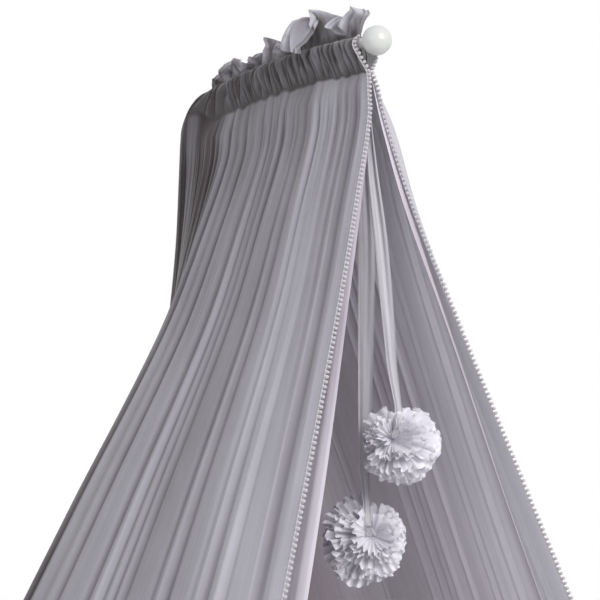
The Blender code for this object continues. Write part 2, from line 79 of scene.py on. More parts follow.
# Rows of the skirt at drops below the ball: the near half's front edge, corner and back, and its folds.
Plan = namedtuple("Plan", "drop front_x front_y corner_x corner_y back_x back_y fold_y near_puff far_puff "
                          "fold_depth inset back_inset")
SKIRT = (
    Plan(0.066, 0.0075, 0.012, 0.0115, 0.372, 0.0155, 0.512, 0.5285, 0.003, 0.010, 0.90, 0.0040, 0.0036),
    Plan(0.125, 0.0160, 0.000, 0.0310, 0.352, 0.0155, 0.512, 0.5290, 0.006, 0.034, 1.30, 0.0060, 0.0036),
    Plan(0.250, 0.0530, -0.020, 0.0770, 0.348, 0.0175, 0.512, 0.5310, 0.008, 0.026, 1.30, 0.0130, 0.0042),
    Plan(0.420, 0.1120, -0.056, 0.1450, 0.348, 0.0320, 0.508, 0.5400, 0.006, 0.014, 1.20, 0.0210, 0.0100),
    Plan(0.700, 0.2150, -0.114, 0.2920, 0.350, 0.0740, 0.502, 0.5520, 0.006, 0.008, 1.05, 0.0420, 0.0240),
    Plan(1.100, 0.3650, -0.198, 0.4880, 0.356, 0.1450, 0.502, 0.5700, 0.006, 0.006, 0.95, 0.0620, 0.0400),
    Plan(1.585, 0.5450, -0.300, 0.6900, 0.365, 0.2400, 0.508, 0.5950, 0.006, 0.006, 0.90, 0.0800, 0.0500),
)

# Main folds from the front edge back: share of the width, swing against that share, and where the crest lies.
Fold = namedtuple("Fold", "share swing crest")
NEAR_FOLDS = (
    Fold(1.5, 0.050, 0.30), Fold(0.7, 0.095, 0.18), Fold(0.8, 0.110, 0.15), Fold(1.3, 0.115, 0.20),
    Fold(0.6, 0.090, 0.25), Fold(1.6, 0.120, 0.14), Fold(0.8, 0.105, 0.20), Fold(0.6, 0.080, 0.25),
    Fold(1.1, 0.120, 0.16), Fold(0.6, 0.095, 0.22), Fold(0.7, 0.105, 0.20), Fold(1.2, 0.130, 0.12),
    Fold(0.9, 0.100, 0.18), Fold(1.1, 0.115, 0.15), Fold(0.9, 0.090, 0.22), Fold(1.2, 0.105, 0.18),
)
FAR_FOLDS = (
    Fold(1.2, 0.060, 0.25), Fold(0.9, 0.105, 0.18), Fold(1.4, 0.120, 0.14), Fold(0.7, 0.090, 0.22),
    Fold(0.8, 0.095, 0.20), Fold(1.1, 0.110, 0.16), Fold(1.5, 0.125, 0.14), Fold(0.6, 0.085, 0.25),
    Fold(0.9, 0.100, 0.20), Fold(1.2, 0.115, 0.15), Fold(0.7, 0.090, 0.22), Fold(0.8, 0.105, 0.18),
    Fold(1.3, 0.120, 0.14), Fold(0.9, 0.090, 0.20), Fold(1.0, 0.100, 0.18), Fold(1.1, 0.095, 0.20),
)
BACK_FOLDS = (Fold(1.1, 0.050, 0.20), Fold(0.8, 0.045, 0.25), Fold(1.1, 0.050, 0.20))
RIBS_PER_FOLD = 4  # crests and troughs of the heading's ruffle over each main fold
WRAP_RIBS = 4

RibbonRow = namedtuple("RibbonRow", "drop x y half_width turn")
RIBBON_LOWER = (
    RibbonRow(0.0480, 0.0000, 0.032, 0.0045, 0),
    RibbonRow(0.0800, 0.0005, 0.033, 0.0050, 0),
    RibbonRow(0.1250, 0.0030, 0.035, 0.0060, 12),
    RibbonRow(0.2000, 0.0100, 0.038, 0.0095, 40),
    RibbonRow(0.3000, 0.0177, 0.040, 0.0125, 60),
    RibbonRow(0.4200, 0.0212, 0.042, 0.0120, 66),
    RibbonRow(0.5400, 0.0234, 0.044, 0.0100, 68),
    RibbonRow(0.6500, 0.0237, 0.045, 0.0070, 68),
    RibbonRow(0.7150, 0.0219, 0.045, 0.0035, 68),
)
RIBBON_UPPER = (
    RibbonRow(0.0545, 0.0000, 0.020, 0.0045, 0),
    RibbonRow(0.0800, 0.0000, 0.019, 0.0050, 0),
    RibbonRow(0.1250, 0.0010, 0.016, 0.0055, 10),
    RibbonRow(0.2000, 0.0040, 0.010, 0.0080, 35),
    RibbonRow(0.3000, 0.0120, 0.000, 0.0100, 52),
    RibbonRow(0.4200, 0.0172, -0.013, 0.0090, 60),
    RibbonRow(0.5200, 0.0198, -0.024, 0.0060, 60),
    RibbonRow(0.5790, 0.0209, -0.030, 0.0035, 60),
)

# ---- what the visual cloth adds

# An unevenness: how far it reaches, how often it turns along and down the cloth, and its place in the noise.
Wander = namedtuple("Wander", "reach along down place")

# The frill above the upper seam: distance behind the ball, height, lean towards +x, and how far it curls
# over. Its pieces stand where the solid's do, and the solid's one folded mass is split into loops.
Frill = namedtuple("Frill", "at height lean curl")
FRILL = (
    Frill(0.030, 0.026, 0.004, 20),
    Frill(0.036, 0.046, 0.000, 10),
    Frill(0.050, 0.048, -0.003, 0),
    Frill(0.066, 0.044, -0.006, 15),
    Frill(0.076, 0.016, -0.002, 60),
    Frill(0.088, 0.014, -0.002, 60),
    Frill(0.098, 0.038, 0.000, 30),
    Frill(0.112, 0.044, -0.002, 60),
    Frill(0.124, 0.038, -0.005, 130),
    Frill(0.142, 0.042, -0.006, 170),
    Frill(0.164, 0.042, -0.006, 165),
    Frill(0.180, 0.034, -0.004, 110),
    Frill(0.192, 0.034, 0.002, 40),
    Frill(0.206, 0.024, 0.002, 40),
    Frill(0.222, 0.012, -0.003, 50),
    Frill(0.240, 0.018, 0.004, 10),
    Frill(0.280, 0.044, 0.006, 0),
    Frill(0.298, 0.026, 0.004, 10),
    Frill(0.312, 0.014, -0.002, 40),
    Frill(0.340, 0.018, 0.000, 30),
    Frill(0.358, 0.016, 0.000, 30),
    Frill(0.372, 0.036, 0.004, 0),
    Frill(0.390, 0.038, 0.004, 0),
    Frill(0.404, 0.018, 0.002, 20),
    Frill(0.446, 0.014, 0.000, 20),
)
FRILL_LEVELS = 10
FRILL_WAVES = ((0.0285, 0.0085), (0.0127, 0.0030))  # wavelength along the rod, depth
FRILL_DRIFT = Wander(0.35, 25.0, 1.0, 0.0)
FRILL_SPREAD = 2.2
FRILL_SWAY = 0.004
FRILL_FADE = 0.020
FRILL_LEAST = 0.15
FRILL_ROLL = 0.45  # how far a folded-over part reaches to the near side, against a round roll
FRILL_DROOP = 1.22  # how much further a folded-over part hangs down than the solid's
FRILL_CRUMPLE = 0.0125  # depth of its uneven crumples
FRILL_CRUMPLE_SIZE = 0.0165
FRILL_CRUMPLE_RISE = 0.45  # how much of that depth goes up and down

RIB_SCALE = 0.78  # crests and troughs of the visual's ruffle against the solid's
RIB_BOW = 0.8  # how far a rib bows to the front at mid height, in ribs
RIB_DRIFT = Wander(2.3, 0.42, 0.25, 4.0)
RIB_FORK = Wander(1.1, 0.9, 0.7, 14.0)
RIB_SIZE = Wander(0.9, 0.55, 0.35, 9.0)
RIB_MEAN, RIB_LEAST, RIB_MOST = 0.80, 0.25, 1.35
RIB_ROUNDNESS = 0.75
PUFF = 2.4  # depth of the visual's puffs against the solid's
SEAM_JAG = Wander(0.0060, 0.30, 0.2, 31.0)  # the lower seam wanders up and down

PLEAT_WIDTH = 0.0106  # one rib of fine pleating, measured at the hem
PLEATS = ((4.1, 0.075, 0.7), (1.9, 0.085, 2.9))  # period in ribs, depth against it, phase
PLEAT_FADE = (0.075, 0.330)  # drops between which the gathers' sharp pleats soften
PLEAT_MOST, PLEAT_LEAST = 1.6, 0.08  # their depth above those drops and below them
PLEAT_WANDER = 1.9  # how far a pleat's phase drifts on its way down
FOLD_DEPTH = Wander(2.2, 0.17, 0.9, 20.0)  # the main folds' depths differ, also on the way down
FOLD_MEAN, FOLD_LEAST, FOLD_MOST = 0.66, 0.08, 1.30
FAR_ROUNDING = 0.36  # the far side's bulge lies close behind its front edge
NEAR_ROUNDING = 0.5
PLEAT_START = (0.050, 0.110)  # drops between which the fine pleats set in below the seam
INNER_FINENESS = 0.6  # depth of the inner layer's fine pleats against the outer net's
ZONE_STEPS = (("side", 18), ("back", 46), ("wrap", 48))  # columns for each fold, or in the whole wrap
SKIRT_ROWS, INNER_ROWS, INNER_DENSITY = 50, 44, 0.7
ROW_CROWDING = 1.35  # how much closer the skirt's rows lie near the gathers

# Painted light and shade on the cloth: how light it is painted at the front edge, past the corner and at the
# back fold, and at the top of the skirt against the rest. The keys say whether it is the inner layer, and its
# side.
Tones = namedtuple("Tones", "front back wrap top")
TONES = {
    (False, -1): Tones(0.54, 0.04, 0.00, 0.76),
    (False, 1): Tones(0.90, 0.16, 0.00, 0.76),
    (True, -1): Tones(0.62, 0.20, 0.16, 0.80),
    (True, 1): Tones(1.05, 0.20, 0.16, 1.55),
}
TOP_FROM = 0.050  # the drop at which the top's painted light and shade starts to fade
TOP_REACH = {False: 0.75, True: 0.30}  # how far down it reaches, for each layer
# Painted light and shade on the tunnel, from the front edge to the back.
HEADING_TONES = (0.18, 0.02, 0.00)
# Painted light and shade on the frill, from the front edge to the back, and uneven painted patches of light
# and shade on its crumples.
FRILL_TONES = (0.52, 0.22, 0.12)
FRILL_SHADE_PATCHES = Wander(0.42, 100.0, 1.6, 5.0)
FOLD_TONE = 0.085  # how much lighter a main fold's crest and darker its trough are painted than the rest
PLEAT_TONE = 0.035 / 0.6  # the same painted light and shade for a fine pleat, against its depth in ribs
BAND_TONE = 0.16  # long bands painted lighter and darker, as where more or fewer layers of net lie over each other
BAND_LIE = Wander(1.7, 0.085, 0.6, 40.0)
BAND_SLANT = 0.3 / BAND_LIE.along  # how far a band crosses the pleats on its way down, in ribs for each metre
EDGE_SHARE, EDGE_TONE = 0.060, 0.45  # the inner layer's far free edge is painted darker, as turned from the light
STRIP_SHARE, STRIP_GLOW, STRIP_DROPS = 0.140, 0.42, (0.42, 0.68)  # and its near one is painted lighter low down, as catching the light

THREADS_PER_METRE = 900.0
HEM_WIDTH = 0.014
# Both nets are cut as a trapezoid: its width at the hem and its length, and its width at the upper edge.
OUTER_FLAT, OUTER_TOP_WIDTH = (2.92, 1.78), 1.87
INNER_FLAT, INNER_TOP_WIDTH = (2.68, 1.64), 1.07

TRIM_PITCH = 0.0075
BEAD_SIZE = Vector((0.0027, 0.0034, 0.0024))  # half sizes: across, ahead, along
BEAD_SET = 0.0010  # how far its middle stands ahead of the tape's middle
CORD_RADIUS = 0.0007
NECK_RADIUS = CORD_RADIUS * 0.7

# A pompom's knot lies off its middle. The pole is where its petals stand clear of the knot, and the notch is
# a side on which they are shorter.
Pompom = namedtuple("Pompom", "name ribbon reach squash knot pole notch seed")
POMPOMS = (
    Pompom("pompom_lower", RIBBON_LOWER, 0.0680, 1.03, Vector((-0.002, -0.026, 0.006)),
           Vector((-0.50, -0.86, 0.05)), None, 3),
    Pompom("pompom_upper", RIBBON_UPPER, 0.0675, 0.90, Vector((-0.019, -0.013, 0.006)),
           Vector((-0.55, -0.83, 0.02)), Vector((-0.80, 0.60, 0.0)), 8),
)
# Degrees from the pole, and the count of petals.
PETAL_RINGS = ((32, 7), (50, 11), (68, 15), (85, 17), (102, 17), (120, 14), (140, 9), (160, 4))
PETAL_LENGTH_STEPS, PETAL_FAN_STEPS = 9, 16
NOTCH_COSINE, NOTCH_SHARE = 0.55, 0.70
TOP_SINE, TOP_SHARE = 0.80, 0.76  # the petals that point up are short
ACROSS = Vector((0.80, -0.60, 0.0))  # left to right as a pompom is faced
GROOVE_SINES, GROOVE_SHARE = (0.12, 0.50), 0.24  # the groove in which the ribbon runs down to the knot
GROOVE_LOW, GROOVE_BACK = 0.25, -0.15
SMOOTH_SIDE = Vector((0.62, -0.46, 0.64))  # where the petals are broad and smooth, and crumpled opposite
RIBBON_LEAD, RIBBON_AHEAD = 0.100, 0.041  # the ribbon leans forward over them, from above its core
RIBBON_LOW_HALF = 0.0060  # its least half width, low down
RIBBON_ROWS, RIBBON_STEPS, TAIL_STEPS = 90, 12, 14
TAIL_PITCH = 0.004  # cloth between two rows of the tail

# ---- camera and stage

CAMERA_FROM_BALL = Vector((-1.3371, -1.5935, -0.7162))
CAMERA_YAW = math.radians(37.06)
CAMERA_PITCH = math.radians(8.79)
CAMERA_ROLL = math.radians(1.2)
FOCAL_LENGTH_PX = 1447.0
IMAGE_WIDTH_PX = 600.0
SENSOR_MM = 36.0
FLOOR_Z = -0.700
FLOOR_HALF = 3.0
WHITE = (1.0, 1.0, 1.0)
WORLD_LEVEL = 0.84

# ---- small helpers


def mix(a, b, t):
    return a + (b - a) * t


def smooth(t):
    return t * t * (3.0 - 2.0 * t)


def clamp(value, low=0.0, high=1.0):
    return max(low, min(high, value))


def ease(value, low, high):
    """A smooth step from 0 at low to 1 at high."""
    return smooth(clamp((value - low) / (high - low)))


def wander(kind, along, down, side=0.0):
    return kind.reach * noise.noise(Vector((along * kind.along, down * kind.down, kind.place + side)))


def vector_noise(place):
    """Three noises from far apart, which are the same on each run."""
    return Vector([noise.noise(place + Vector((17.3 * axis, 5.1 * axis, 3.7 * axis))) for axis in range(3)])


def between(rows, key, value):
    """The two rows that value lies between on the named column, and how far it is from one to the other."""
    for low, high in zip(rows, rows[1:]):
        start, end = getattr(low, key), getattr(high, key)
        if value <= end:
            return low, high, max(0.0, (value - start) / (end - start))
    return rows[-2], rows[-1], 1.0


def eased_row(rows, key, value):
    """A table's row at a value of its named column, on a smooth curve through every other column."""
    low, high, t = between(rows, key, value)
    at = rows.index(low)
    before, after = rows[max(0, at - 1)], rows[min(len(rows) - 1, at + 2)]
    span = getattr(high, key) - getattr(low, key)
    fields = []
    for field in low._fields:
        a, b = getattr(low, field), getattr(high, field)
        left = (b - getattr(before, field)) / max(1e-9, getattr(high, key) - getattr(before, key))
        right = (getattr(after, field) - a) / max(1e-9, getattr(after, key) - getattr(low, key))
        fields.append(mix(a, b, smooth(t)) + span * (left * t * (1 - t) ** 2 - right * t * t * (1 - t)))
    return type(low)(*fields)


def link_object(name, data, material):
    obj = bpy.data.objects.new(name, data)
    obj.data.materials.append(material)
    bpy.context.scene.collection.objects.link(obj)
    return obj


def mesh_object(name, bm, material):
    """An object from a bmesh, which is freed."""
    mesh = bpy.data.meshes.new(name)
    bm.to_mesh(mesh)
    bm.free()
    return link_object(name, mesh, material)


def grid_faces(row_count, count, start=0):
    """Quads between rows of points, which are numbered from start."""
    faces = []
    for row in range(row_count - 1):
        for column in range(count - 1):
            a = start + row * count + column
            faces.append((a, a + 1, a + 1 + count, a + count))
    return faces


def grid_object(name, rows, material, uv, shade=None):
    """A sheet through rows of points, with its uv in metres of cloth and its painted light and shade at each
    point.
    """
    faces = grid_faces(len(rows), len(rows[0]))
    mesh = bpy.data.meshes.new(name)
    mesh.from_pydata([point for row in rows for point in row], [], faces)
    layer = mesh.uv_layers.new(name="cloth")
    layer.data.foreach_set("uv", [value for face in faces for vertex in face for value in uv[vertex]])
    if shade is not None:
        attribute = mesh.attributes.new("shade", "FLOAT", "POINT")
        attribute.data.foreach_set("value", [clamp(value) for value in shade])
    mesh.shade_smooth()
    return link_object(name, mesh, material)


def curve_object(name, paths, radius, resolution, material):
    """A round bar or cord along each path, with closed ends."""
    curve = bpy.data.curves.new(name, "CURVE")
    curve.dimensions = "3D"
    curve.bevel_depth = radius
    curve.bevel_resolution = resolution
    curve.use_fill_caps = True
    for path in paths:
        spline = curve.splines.new("POLY")
        spline.points.add(len(path) - 1)
        for spline_point, point in zip(spline.points, path):
            spline_point.co = (*point, 1.0)
        spline.use_smooth = True
    return link_object(name, curve, material)


def dress(piece, node):
    """The piece stands for the frame's node and rides on the one body."""
    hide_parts(node)
    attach(piece, "root")
    return piece


# ---- materials


class Nodes:
    """Short calls for building one material's nodes."""

    def __init__(self, name):
        self.material = bpy.data.materials.new(name)
        self.material.use_nodes = True
        self.tree = self.material.node_tree
        self.shader = self.tree.nodes["Principled BSDF"]

    def new(self, kind, **values):
        node = self.tree.nodes.new(kind)
        for key, value in values.items():
            setattr(node, key, value)
        return node

    def link(self, source, target):
        self.tree.links.new(source, target)

    def set(self, values):
        for socket, value in values.items():
            self.shader.inputs[socket].default_value = value

    def coordinates(self, source, scale=WHITE):
        """Texture coordinates, or the cloth's uv, stretched by scale."""
        if source == "uv":
            out = self.new("ShaderNodeUVMap", uv_map="cloth").outputs["UV"]
        else:
            out = self.new("ShaderNodeTexCoord").outputs["Object"]
        mapping = self.new("ShaderNodeMapping")
        mapping.inputs["Scale"].default_value = scale
        self.link(out, mapping.inputs["Vector"])
        return mapping.outputs["Vector"]

    def noise(self, source, scale, detail=3.0, stretch=WHITE):
        node = self.new("ShaderNodeTexNoise")
        node.inputs["Scale"].default_value = scale
        node.inputs["Detail"].default_value = detail
        node.inputs["Roughness"].default_value = 0.55
        self.link(self.coordinates(source, stretch), node.inputs["Vector"])
        return node.outputs["Fac"]

    def threads(self, per_metre, direction):
        """One smooth band for each thread."""
        node = self.new("ShaderNodeTexWave", wave_type="BANDS", bands_direction=direction)
        node.inputs["Scale"].default_value = 1.0 / math.pi
        self.link(self.coordinates("uv", (per_metre, per_metre, 1.0)), node.inputs["Vector"])
        return node.outputs["Fac"]

    def place(self):
        """Across and down the cloth, in metres, or in shares of its width on a ribbon."""
        split = self.new("ShaderNodeSeparateXYZ")
        self.link(self.coordinates("uv"), split.inputs["Vector"])
        return split.outputs["X"], split.outputs["Y"]

    def math(self, operation, a, b, clamped=False):
        node = self.new("ShaderNodeMath", operation=operation, use_clamp=clamped)
        for socket, value in zip(node.inputs, (a, b)):
            if isinstance(value, (int, float)):
                socket.default_value = value
            else:
                self.link(value, socket)
        return node.outputs["Value"]

    def weigh(self, base, *parts):
        """The base plus each source times its weight, held between 0 and 1."""
        total = base
        for source, weight in parts:
            total = self.math("ADD", self.math("MULTIPLY", source, weight), total)
        return self.math("ADD", total, 0.0, clamped=True)

    def colour(self, factor, low, high):
        """A colour that runs from low to high with the factor."""
        node = self.new("ShaderNodeMix", data_type="RGBA")
        self.link(factor, node.inputs["Factor"])
        node.inputs["A"].default_value = (*low, 1.0)
        node.inputs["B"].default_value = (*high, 1.0)
        self.link(node.outputs["Result"], self.shader.inputs["Base Color"])

    def ramp(self, factor, low, high):
        node = self.new("ShaderNodeMapRange")
        node.inputs["From Min"].default_value = low
        node.inputs["From Max"].default_value = high
        self.link(factor, node.inputs["Value"])
        return node.outputs["Result"]

    def bump(self, height, distance, strength):
        node = self.new("ShaderNodeBump")
        node.inputs["Distance"].default_value = distance
        node.inputs["Strength"].default_value = strength
        self.link(height, node.inputs["Height"])
        self.link(node.outputs["Normal"], self.shader.inputs["Normal"])


def net_material(name, light, dark, alpha, flat):
    """Fine net: threads, slubs, long streaks, hems where the cloth is turned over at its edges, and painted
    light and shade.
    """
    n = Nodes(name)
    width, length = flat
    weave = n.math("MAXIMUM", n.threads(THREADS_PER_METRE, "X"), n.threads(THREADS_PER_METRE, "Y"))
    streaks = n.noise("uv", 1.0, stretch=(130.0, 3.0, 1.0))
    clouds = n.noise("uv", 1.0, stretch=(5.0, 5.0, 1.0))
    # The shade attribute holds painted light and shade: the colour runs from the dark to the light colour
    # with it, and with streaks and clouds of uneven tone.
    shade = n.new("ShaderNodeAttribute", attribute_name="shade").outputs["Fac"]
    n.colour(n.weigh(-0.12, (streaks, 0.06), (clouds, 0.18), (shade, 1.0)), dark, light)
    across, down = n.place()
    side_hem = HEM_WIDTH * 0.6
    at_sides = n.math("MAXIMUM", n.math("LESS_THAN", across, side_hem),
                      n.math("GREATER_THAN", across, width - side_hem))
    doubled = n.math("MAXIMUM", n.math("GREATER_THAN", down, length - HEM_WIDTH), at_sides)
    thick = n.ramp(streaks, 0.3, 0.7)
    cover = n.weigh(alpha - 0.10, (weave, 0.16), (thick, 0.07), (doubled, 0.22))
    n.link(cover, n.shader.inputs["Alpha"])
    n.set({"Roughness": 0.88, "Sheen Weight": 0.35, "Sheen Roughness": 0.45, "Specular IOR Level": 0.25})
    n.bump(n.weigh(0.0, (weave, 0.5), (streaks, 0.45)), 0.0006, 0.25)
    return n.material


def ribbon_material():
    """Sheer ribbon with closer threads along both edges."""
    n = Nodes("sheer_ribbon")
    weave = n.threads(1400.0, "Y")
    across = n.place()[0]
    edge = n.ramp(n.math("ABSOLUTE", n.math("SUBTRACT", across, 0.5), 0.0), 0.38, 0.47)
    streaks = n.noise("uv", 1.0, stretch=(9.0, 2.0, 1.0))
    n.colour(n.ramp(streaks, 0.3, 0.7), (0.38, 0.37, 0.40), (0.54, 0.53, 0.57))
    n.link(n.weigh(0.72, (weave, 0.10), (streaks, 0.12), (edge, 0.25)), n.shader.inputs["Alpha"])
    n.set({"Roughness": 0.70, "Sheen Weight": 0.3})
    n.bump(weave, 0.0003, 0.5)
    return n.material


def tulle_material():
    """Crisp tulle, with a fine grain that is thicker in places."""
    n = Nodes("pompom_tulle")
    grain = n.noise("object", 900.0, detail=2.0)
    patches = n.noise("object", 45.0)
    n.colour(n.ramp(patches, 0.32, 0.68), (0.59, 0.575, 0.645), (0.77, 0.755, 0.82))
    n.link(n.weigh(0.66, (grain, 0.30)), n.shader.inputs["Alpha"])
    n.set({"Roughness": 0.80, "Sheen Weight": 0.4})
    n.bump(grain, 0.0004, 0.4)
    return n.material


def yarn_material(name, low, high):
    """Wound yarn: short soft fibres round each bead and along the cord."""
    n = Nodes(name)
    fibres = n.noise("object", 1600.0, stretch=(1.0, 1.0, 0.35))
    patches = n.noise("object", 240.0)
    n.colour(n.weigh(0.0, (fibres, 0.5), (patches, 0.5)), low, high)
    n.set({"Roughness": 0.92, "Sheen Weight": 0.6})
    n.bump(fibres, 0.0006, 0.8)
    return n.material


def paint_material(name, tint, roughness, coat):
    """Sprayed paint: a faint orange peel and uneven gloss."""
    n = Nodes(name)
    haze = n.noise("object", 30.0)
    n.colour(haze, tuple(channel * 0.94 for channel in tint), tint)
    n.link(n.weigh(roughness - 0.05, (haze, 0.10)), n.shader.inputs["Roughness"])
    n.set({"Coat Weight": coat, "Coat Roughness": 0.08})
    n.bump(n.noise("object", 420.0, detail=2.0), 0.0003, 0.08)
    return n.material


def floor_material():
    n = Nodes("pale_floor")
    n.colour(n.noise("object", 1.5), (0.80, 0.80, 0.79), (0.84, 0.84, 0.83))
    n.set({"Roughness": 0.75})
    return n.material


# ---- rod, ball and plate


def rod_frame(station):
    """The rod's centre at a distance behind the ball's centre, and the way out from the bend's middle."""
    arm = min(station, ARM_LENGTH)
    pitch = ARM_RISE - arm / ARM_RADIUS
    y = ARM_RADIUS * (math.sin(ARM_RISE) - math.sin(pitch))
    z = ARM_RADIUS * (math.cos(pitch) - math.cos(ARM_RISE))
    if station > ARM_LENGTH:
        start = pitch
        pitch = start - min(station - ARM_LENGTH, BEND_LENGTH) / BEND_RADIUS
        y += BEND_RADIUS * (math.sin(start) - math.sin(pitch))
        z += BEND_RADIUS * (math.cos(pitch) - math.cos(start))
        z -= max(0.0, station - ARM_LENGTH - BEND_LENGTH)
    centre = Vector((0.0, BALL_Y + y, BALL_HEIGHT + z))
    return centre, Vector((0.0, -math.sin(pitch), math.cos(pitch)))


def add_rod(material):
    steps = 60
    front, back = BALL_FLAT + TOUCH, ARM_LENGTH + BEND_LENGTH
    points = [rod_frame(mix(front, back, i / steps))[0] for i in range(steps + 1)]
    points.append(Vector((0.0, POST_Y, POST_FOOT)))
    dress(curve_object("painted_rod", [points], ROD_RADIUS, 8, material), "rod")


def add_ball(material):
    """The ball finial: a turned ball with a flat that meets the rod."""
    bm = bmesh.new()
    bmesh.ops.create_uvsphere(bm, u_segments=64, v_segments=40, radius=BALL_RADIUS)
    cut = bmesh.ops.bisect_plane(
        bm, geom=bm.verts[:] + bm.edges[:] + bm.faces[:],
        plane_co=(0.0, 0.0, -BALL_FLAT), plane_no=(0.0, 0.0, -1.0), clear_outer=True)
    rim = [item for item in cut["geom_cut"] if isinstance(item, bmesh.types.BMEdge)]
    bmesh.ops.contextual_create(bm, geom=rim)
    bmesh.ops.recalc_face_normals(bm, faces=bm.faces[:])
    ball = mesh_object("ball_finial", bm, material)
    ball.data.shade_smooth()
    ball.data.set_sharp_from_angle(angle=math.radians(40))
    ball.location = (0.0, BALL_Y, BALL_HEIGHT)
    ball.rotation_euler.x = math.pi / 2 + ARM_RISE
    dress(ball, "ball")


def add_plate(material):
    """The bracket plate with softened edges and its four screw holes."""
    bm = bmesh.new()
    bmesh.ops.create_cube(bm, size=1.0)
    bmesh.ops.scale(bm, vec=PLATE, verts=bm.verts)
    plate = mesh_object("screw_plate", bm, material)
    plate.location.y = PLATE.y / 2
    cutters = []
    for x in (-PLATE_HOLE_X, PLATE_HOLE_X):
        for z in (-PLATE_HOLE_Z, PLATE_HOLE_Z):
            cutters.append(hole_cutter(x, z))
            plate.modifiers.new("hole", "BOOLEAN").object = cutters[-1]
    bevel = plate.modifiers.new("soft_edges", "BEVEL")
    bevel.width = 0.0006
    bevel.segments = 2
    bevel.limit_method = "ANGLE"
    bake_modifiers(plate)
    for cutter in cutters:
        bpy.data.objects.remove(cutter)
    dress(plate, "bracket_plate")


def hole_cutter(x, z):
    mesh = bpy.data.meshes.new("cutter")
    bm = bmesh.new()
    bmesh.ops.create_cone(bm, cap_ends=True, segments=32, radius1=PLATE_HOLE_RADIUS,
                          radius2=PLATE_HOLE_RADIUS, depth=PLATE.y * 3)
    bm.to_mesh(mesh)
    bm.free()
    cutter = bpy.data.objects.new("cutter", mesh)
    cutter.location = (x, PLATE.y / 2, z)
    cutter.rotation_euler.x = math.pi / 2
    bpy.context.scene.collection.objects.link(cutter)
    return cutter


def bake_modifiers(obj):
    """Puts the evaluated mesh in place of the object's own, so that no modifier is left."""
    graph = bpy.context.evaluated_depsgraph_get()
    mesh = bpy.data.meshes.new_from_object(obj.evaluated_get(graph))
    obj.modifiers.clear()
    obj.data = mesh
    mesh.set_sharp_from_angle(angle=math.radians(35))


# ---- columns and rows of the net

# side is -1 near and +1 far; zone is "side", "back" or "wrap"; share is the column's place along its zone on
# the skirt and top its place on the heading; rib counts the heading's ruffles, and pleat the fine pleats;
# wave is 1 on a main fold's crest and -1 in its trough; swing is its swing as a share of the zone's length.
Column = namedtuple("Column", "side zone share top rib pleat wave swing")


def fold_shape(part, crest):
    """Where a part of a fold lies on the heading, and its swing: 1 at the crest and -1 in the trough."""
    knots = ((0.0, 0.0), (crest, 1.0), (0.5, 0.0), (1.0 - crest, -1.0), (1.0, 0.0))
    for number, (low, high) in enumerate(zip(knots, knots[1:])):
        if part <= high[0]:
            t = (part - low[0]) / (high[0] - low[0])
            return (number + t) / RIBS_PER_FOLD, mix(low[1], high[1], smooth(t))
    return 1.0, 0.0


def fold_columns(side, zone, folds, steps, first_pleat):
    total = sum(fold.share for fold in folds)
    columns, done = [], 0.0
    for number, fold in enumerate(folds):
        for step in range(steps):
            part = step / steps
            top_part, wave = fold_shape(part, fold.crest)
            share = (done + fold.share * part) / total
            place = number + top_part
            pleat = first_pleat + zone_pleats(zone) * share
            swing = fold.swing * fold.share / total
            top, rib = place / len(folds), place * RIBS_PER_FOLD
            columns.append(Column(side, zone, share, top, rib, pleat, wave, swing))
        done += fold.share
    return columns


def zone_pleats(zone):
    """How many fine pleats a zone holds, from its length at the hem."""
    hem = SKIRT[-1]
    lengths = {
        "side": math.hypot(hem.corner_x - hem.front_x, hem.corner_y - hem.front_y),
        "back": math.hypot(hem.corner_x - hem.back_x, hem.back_y - hem.corner_y),
        "wrap": math.hypot(hem.back_x, hem.fold_y - hem.back_y) * 1.1,
    }
    return lengths[zone] / PLEAT_WIDTH


def side_columns(side, folds, density):
    steps = {zone: round(count * density) for zone, count in ZONE_STEPS}
    at_corner = zone_pleats("side")
    at_back = at_corner + zone_pleats("back")
    columns = fold_columns(side, "side", folds, steps["side"], 0.0)
    columns += fold_columns(side, "back", BACK_FOLDS, steps["back"], at_corner)
    for i in range(steps["wrap"]):
        t = i / steps["wrap"]
        pleat = at_back + zone_pleats("wrap") * t
        columns.append(Column(side, "wrap", 0.0, t, t * WRAP_RIBS, pleat, 0.0, 0.0))
    return columns


def net_columns(density):
    """Columns from the near front edge round the back to the far one."""
    near = side_columns(-1, NEAR_FOLDS, density)
    far = side_columns(1, FAR_FOLDS, density)
    last = sum(zone_pleats(zone) for zone, _ in ZONE_STEPS)
    middle = Column(-1, "wrap", 0.0, 1.0, WRAP_RIBS, last, 0.0, 0.0)
    return near + [middle] + far[::-1]


def section_point(station, x, height):
    centre, outward = rod_frame(station)
    return centre + outward * height + Vector((x, 0.0, 0.0))


def heading_place(row, column):
    """Station, half width and height of a heading row at a column, before any ruffle."""
    if column.zone == "side":
        return mix(row.edge, CORNER_AT, column.top), row.arm_x, row.arm_h
    if column.zone == "back":
        lift = smooth(max(0.0, (column.top - BACK_LEVEL_SHARE) / (1.0 - BACK_LEVEL_SHARE)))
        station = mix(CORNER_AT, row.side_at, column.top)
        return station, mix(row.arm_x, row.side_x, lift), mix(row.arm_h, row.side_h, lift)
    turn = column.top * math.pi / 2
    station = mix(row.side_at, row.fold_at, math.sin(turn))
    return station, row.side_x * math.cos(turn), mix(row.side_h, row.fold_h, math.sin(turn))


def ruffle_wave(column, down):
    """Uneven ribs of the gathered tunnel, from 0 to 1: they lean and change size along the rod."""
    along = column.rib * RIB_SCALE
    bow = RIB_BOW * math.sin(math.pi * down / LAST_ROW)
    turn = wander(RIB_DRIFT, along, down, column.side) + wander(RIB_FORK, along, down, column.side)
    size = clamp(RIB_MEAN + wander(RIB_SIZE, along, down, column.side), RIB_LEAST, RIB_MOST)
    return size * abs(math.sin(math.pi * (along + bow) / 2.0 + turn)) ** RIB_ROUNDNESS


